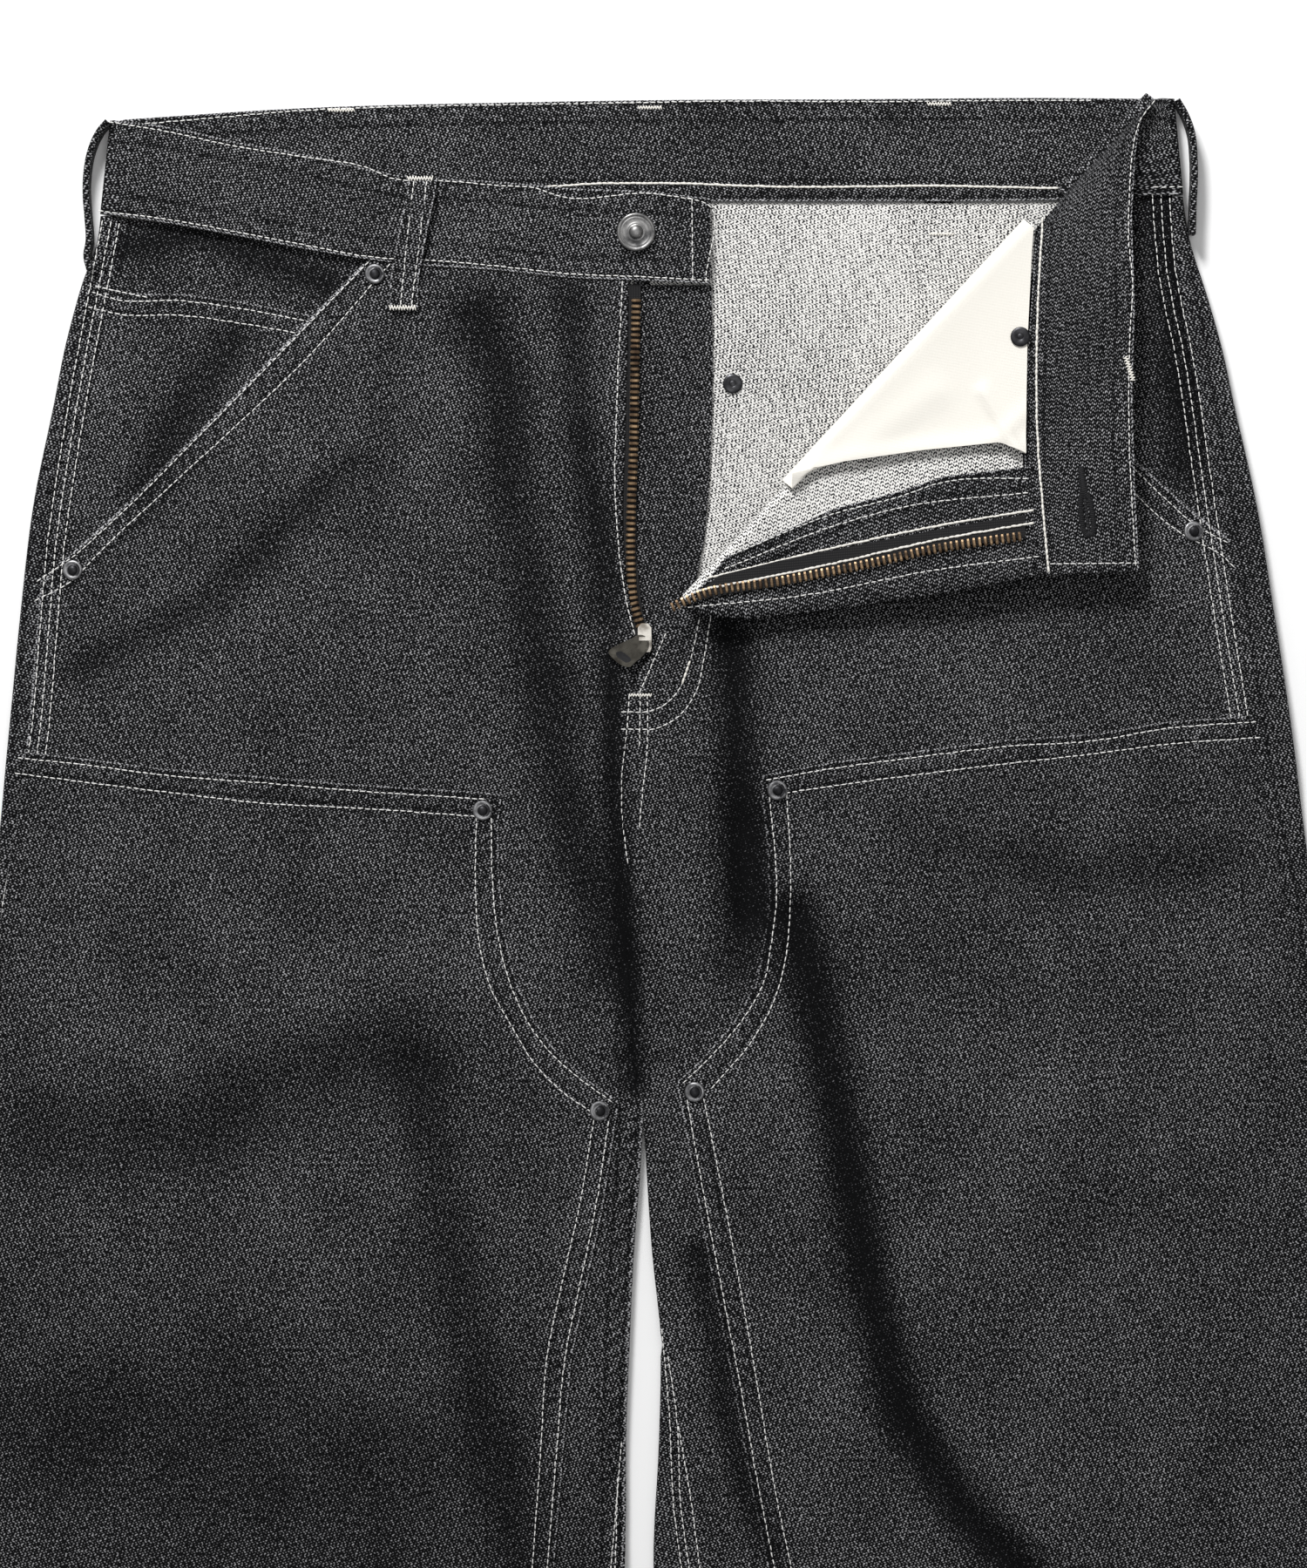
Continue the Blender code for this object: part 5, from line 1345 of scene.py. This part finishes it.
rivets = [                                             # name, node, x, y, what it lies on
    ("rightPocketTopRivet", "rivet_pocket_right_top", -118.0, 445.5, "front"),
    ("rightPocketLowRivet", "rivet_pocket_right_low", -251.2, 314.8, "front"),
    ("leftPocketLowRivet", "rivet_pocket_left_low", 243.1, 331.9, "front"),
    ("rightPatchTopRivet", "rivet_patch_right_top", -70.4, 208.8, "patch"),
    ("rightPatchLowRivet", "rivet_patch_right_low", -18.8, 76.2, "patch"),
    ("leftPatchTopRivet", "rivet_patch_left_top", 59.6, 217.7, "patch"),
    ("leftPatchLowRivet", "rivet_patch_left_low", 23.1, 84.6, "patch")]


def slopeOf(surface, x, y):
    height = surfaces[surface]
    rise = (float(height(x + 3, y)) - float(height(x - 3, y))) / 6
    run = (float(height(x, y + 3)) - float(height(x, y - 3))) / 6
    return atan2(run, 1), -atan2(rise, 1)


def makeTrims():
    x, y = button["place"]
    spunPiece("waistButton", button, (x, y, bandTop + 0.2), "antique", "waist_button")
    for name, node, x, y, surface in rivets:
        z = float(surfaces[surface](x, y)) + 0.1
        spunPiece(name, rivet, (x, y, z), "ringMetal", node,
                  slopeOf(surface, x, y), middle="gunmetal")
    for name, node, x, y, surface in (
            ("bagRivetBack", "rivet_back_pocket_bag", 166.2, 416.9, "bag"),
            ("leftSeatRivetBack", "rivet_back_seat_left", 40.0, 397.3, "back"),
            ("rightSeatRivetBack", "rivet_back_seat_right", -40.0, 397.3, "back")):
        z = float(surfaces[surface](x, y)) + 0.15
        spunPiece(name, rivetDisc, (x, y, z), "gunmetal", node, slopeOf(surface, x, y))


makeTrims()
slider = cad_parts["zip_slider"]
slider.data.materials.clear()
slider.data.materials.append(finishes["nickel"])

zipPull = {
    "leaf": [(3.0, 283.2), (1.2, 285.6), (-1.4, 286.2), (-4.6, 284.6), (-9.0, 282.6), (-14.9, 278.3),
        (-12.6, 275.4), (-9.6, 273.0), (-5.9, 271.9), (-2.6, 274.4), (0.6, 277.2), (2.9, 280.4)],
    "window": [(-11.6, 278.4), (-9.8, 278.9), (-6.9, 277.4), (-4.9, 274.9), (-6.3, 273.9), (-9.3, 275.2),
        (-11.3, 277.0)],
    "thick": 1.1, "sunk": 0.7, "pivot": (1.2, 9.9), "droop": 5.5,
}


def makeZipPull():
    # a leaf with a sunk window, hanging from the slider's staple and drooping to the cloth
    clear()
    bpy.ops.mesh.primitive_circle_add(vertices=3, radius=mm)
    piece = bpy.context.object
    piece.name = piece.data.name = "zipPullLeaf"
    piece.data.clear_geometry()
    rim, hole = [[(x * mm, y * mm, 0) for x, y in smoothPath(zipPull[key] + zipPull[key][:1], 49)[:-1]]
                 for key in ("leaf", "window")]
    shift = min(range(48), key=lambda k: (rim[k][0] - hole[0][0]) ** 2 + (rim[k][1] - hole[0][1]) ** 2)
    rim = rim[shift:] + rim[:shift]
    if np.subtract(rim[4], rim[0]) @ np.subtract(hole[4], hole[0]) < 0:      # both outlines run the same way
        hole = hole[:1] + hole[:0:-1]
    faces = [(k, (k + 1) % 48, 48 + (k + 1) % 48, 48 + k) for k in range(48)]
    piece.data.from_pydata(rim + hole, [], faces + [tuple(range(48, 96))])
    thickness = piece.modifiers.new("thickness", "SOLIDIFY")
    thickness.thickness, thickness.offset = zipPull["thick"] * mm, 0
    bpy.ops.object.modifier_apply(modifier=thickness.name)
    for vertex in piece.data.vertices:                 # the window's floor is sunk from the top
        if vertex.index % 96 >= 48 and vertex.co.z > 0:
            vertex.co.z -= zipPull["sunk"] * mm
    pivotX, pivotZ = zipPull["pivot"]
    slope = sin(radians(zipPull["droop"]))
    for vertex in piece.data.vertices:
        vertex.co.z += (pivotZ + (vertex.co.x / mm - pivotX) * slope) * mm
    bpy.ops.object.mode_set(mode="EDIT")
    bpy.ops.mesh.select_all(action="SELECT")
    bpy.ops.mesh.normals_make_consistent(inside=False)
    bpy.ops.object.mode_set(mode="OBJECT")
    bevel = piece.modifiers.new("edges", "BEVEL")
    bevel.width, bevel.segments, bevel.angle_limit = 0.22 * mm, 2, radians(40)
    bpy.ops.object.modifier_apply(modifier=bevel.name)
    bpy.ops.object.shade_smooth_by_angle(angle=radians(40))
    for key in ("darkPull", "blackThread"):
        piece.data.materials.append(finishes[key])
    for face in piece.data.polygons:
        face.material_index = int(len(face.vertices) > 20 and face.normal.z > 0.5)
    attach(piece, "pull_tab")
    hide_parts("zip_pull")


makeZipPull()
print("trims made")


# Table, light and camera

studio = {
    "lights": [("windowLight", (-0.55, 2.05, 1.4), 0.55, 60), ("overheadLight", (0.3, 0.2, 2.4), 1.6, 8)],
    "lightsAim": (0.0, 0.2, 0.0), "sky": 0.34, "tableSize": 6.0, "paper": (0.97, 0.97, 0.97, 1),
    "camera": (5.0, 220.4, 2500.0), "seen": 692.3, "aimZ": 6.0}      # seen: millimetres across the picture


def makeStudio():
    clear()
    bpy.ops.mesh.primitive_plane_add(size=studio["tableSize"], location=(0, 0, -0.0003))
    table = bpy.context.object
    table.name = "floor"
    paper = Finish("whitePaper", roughness=0.9, specular=0.1)
    paper.colour(studio["paper"])
    table.data.materials.append(paper.material)
    world = bpy.data.worlds.new("studio")
    bpy.context.scene.world = world
    world.use_nodes = True
    sky = world.node_tree.nodes["Background"]
    sky.inputs["Color"].default_value = (1, 1, 1, 1)
    sky.inputs["Strength"].default_value = studio["sky"]
    for name, place, size, power in studio["lights"]:
        light = bpy.data.lights.new(name, "AREA")
        light.size, light.energy = size, power
        lamp = bpy.data.objects.new(name, light)
        bpy.context.scene.collection.objects.link(lamp)
        lamp.location = place
        aim = np.array(studio["lightsAim"]) - np.array(place)
        lamp.rotation_euler = (atan2(np.hypot(aim[0], aim[1]), -aim[2]), 0, atan2(aim[1], aim[0]) - pi / 2)
    camera = bpy.data.objects.new("camera", bpy.data.cameras.new("camera"))
    bpy.context.scene.collection.objects.link(camera)
    x, y, z = studio["camera"]
    camera.location = (x * mm, y * mm, z * mm)
    camera.data.sensor_width = 36
    camera.data.lens = 36 * (z - studio["aimZ"]) / studio["seen"]
    bpy.context.scene.camera = camera
    bpy.context.scene.view_settings.view_transform = "Standard"


makeStudio()
print("studio made")
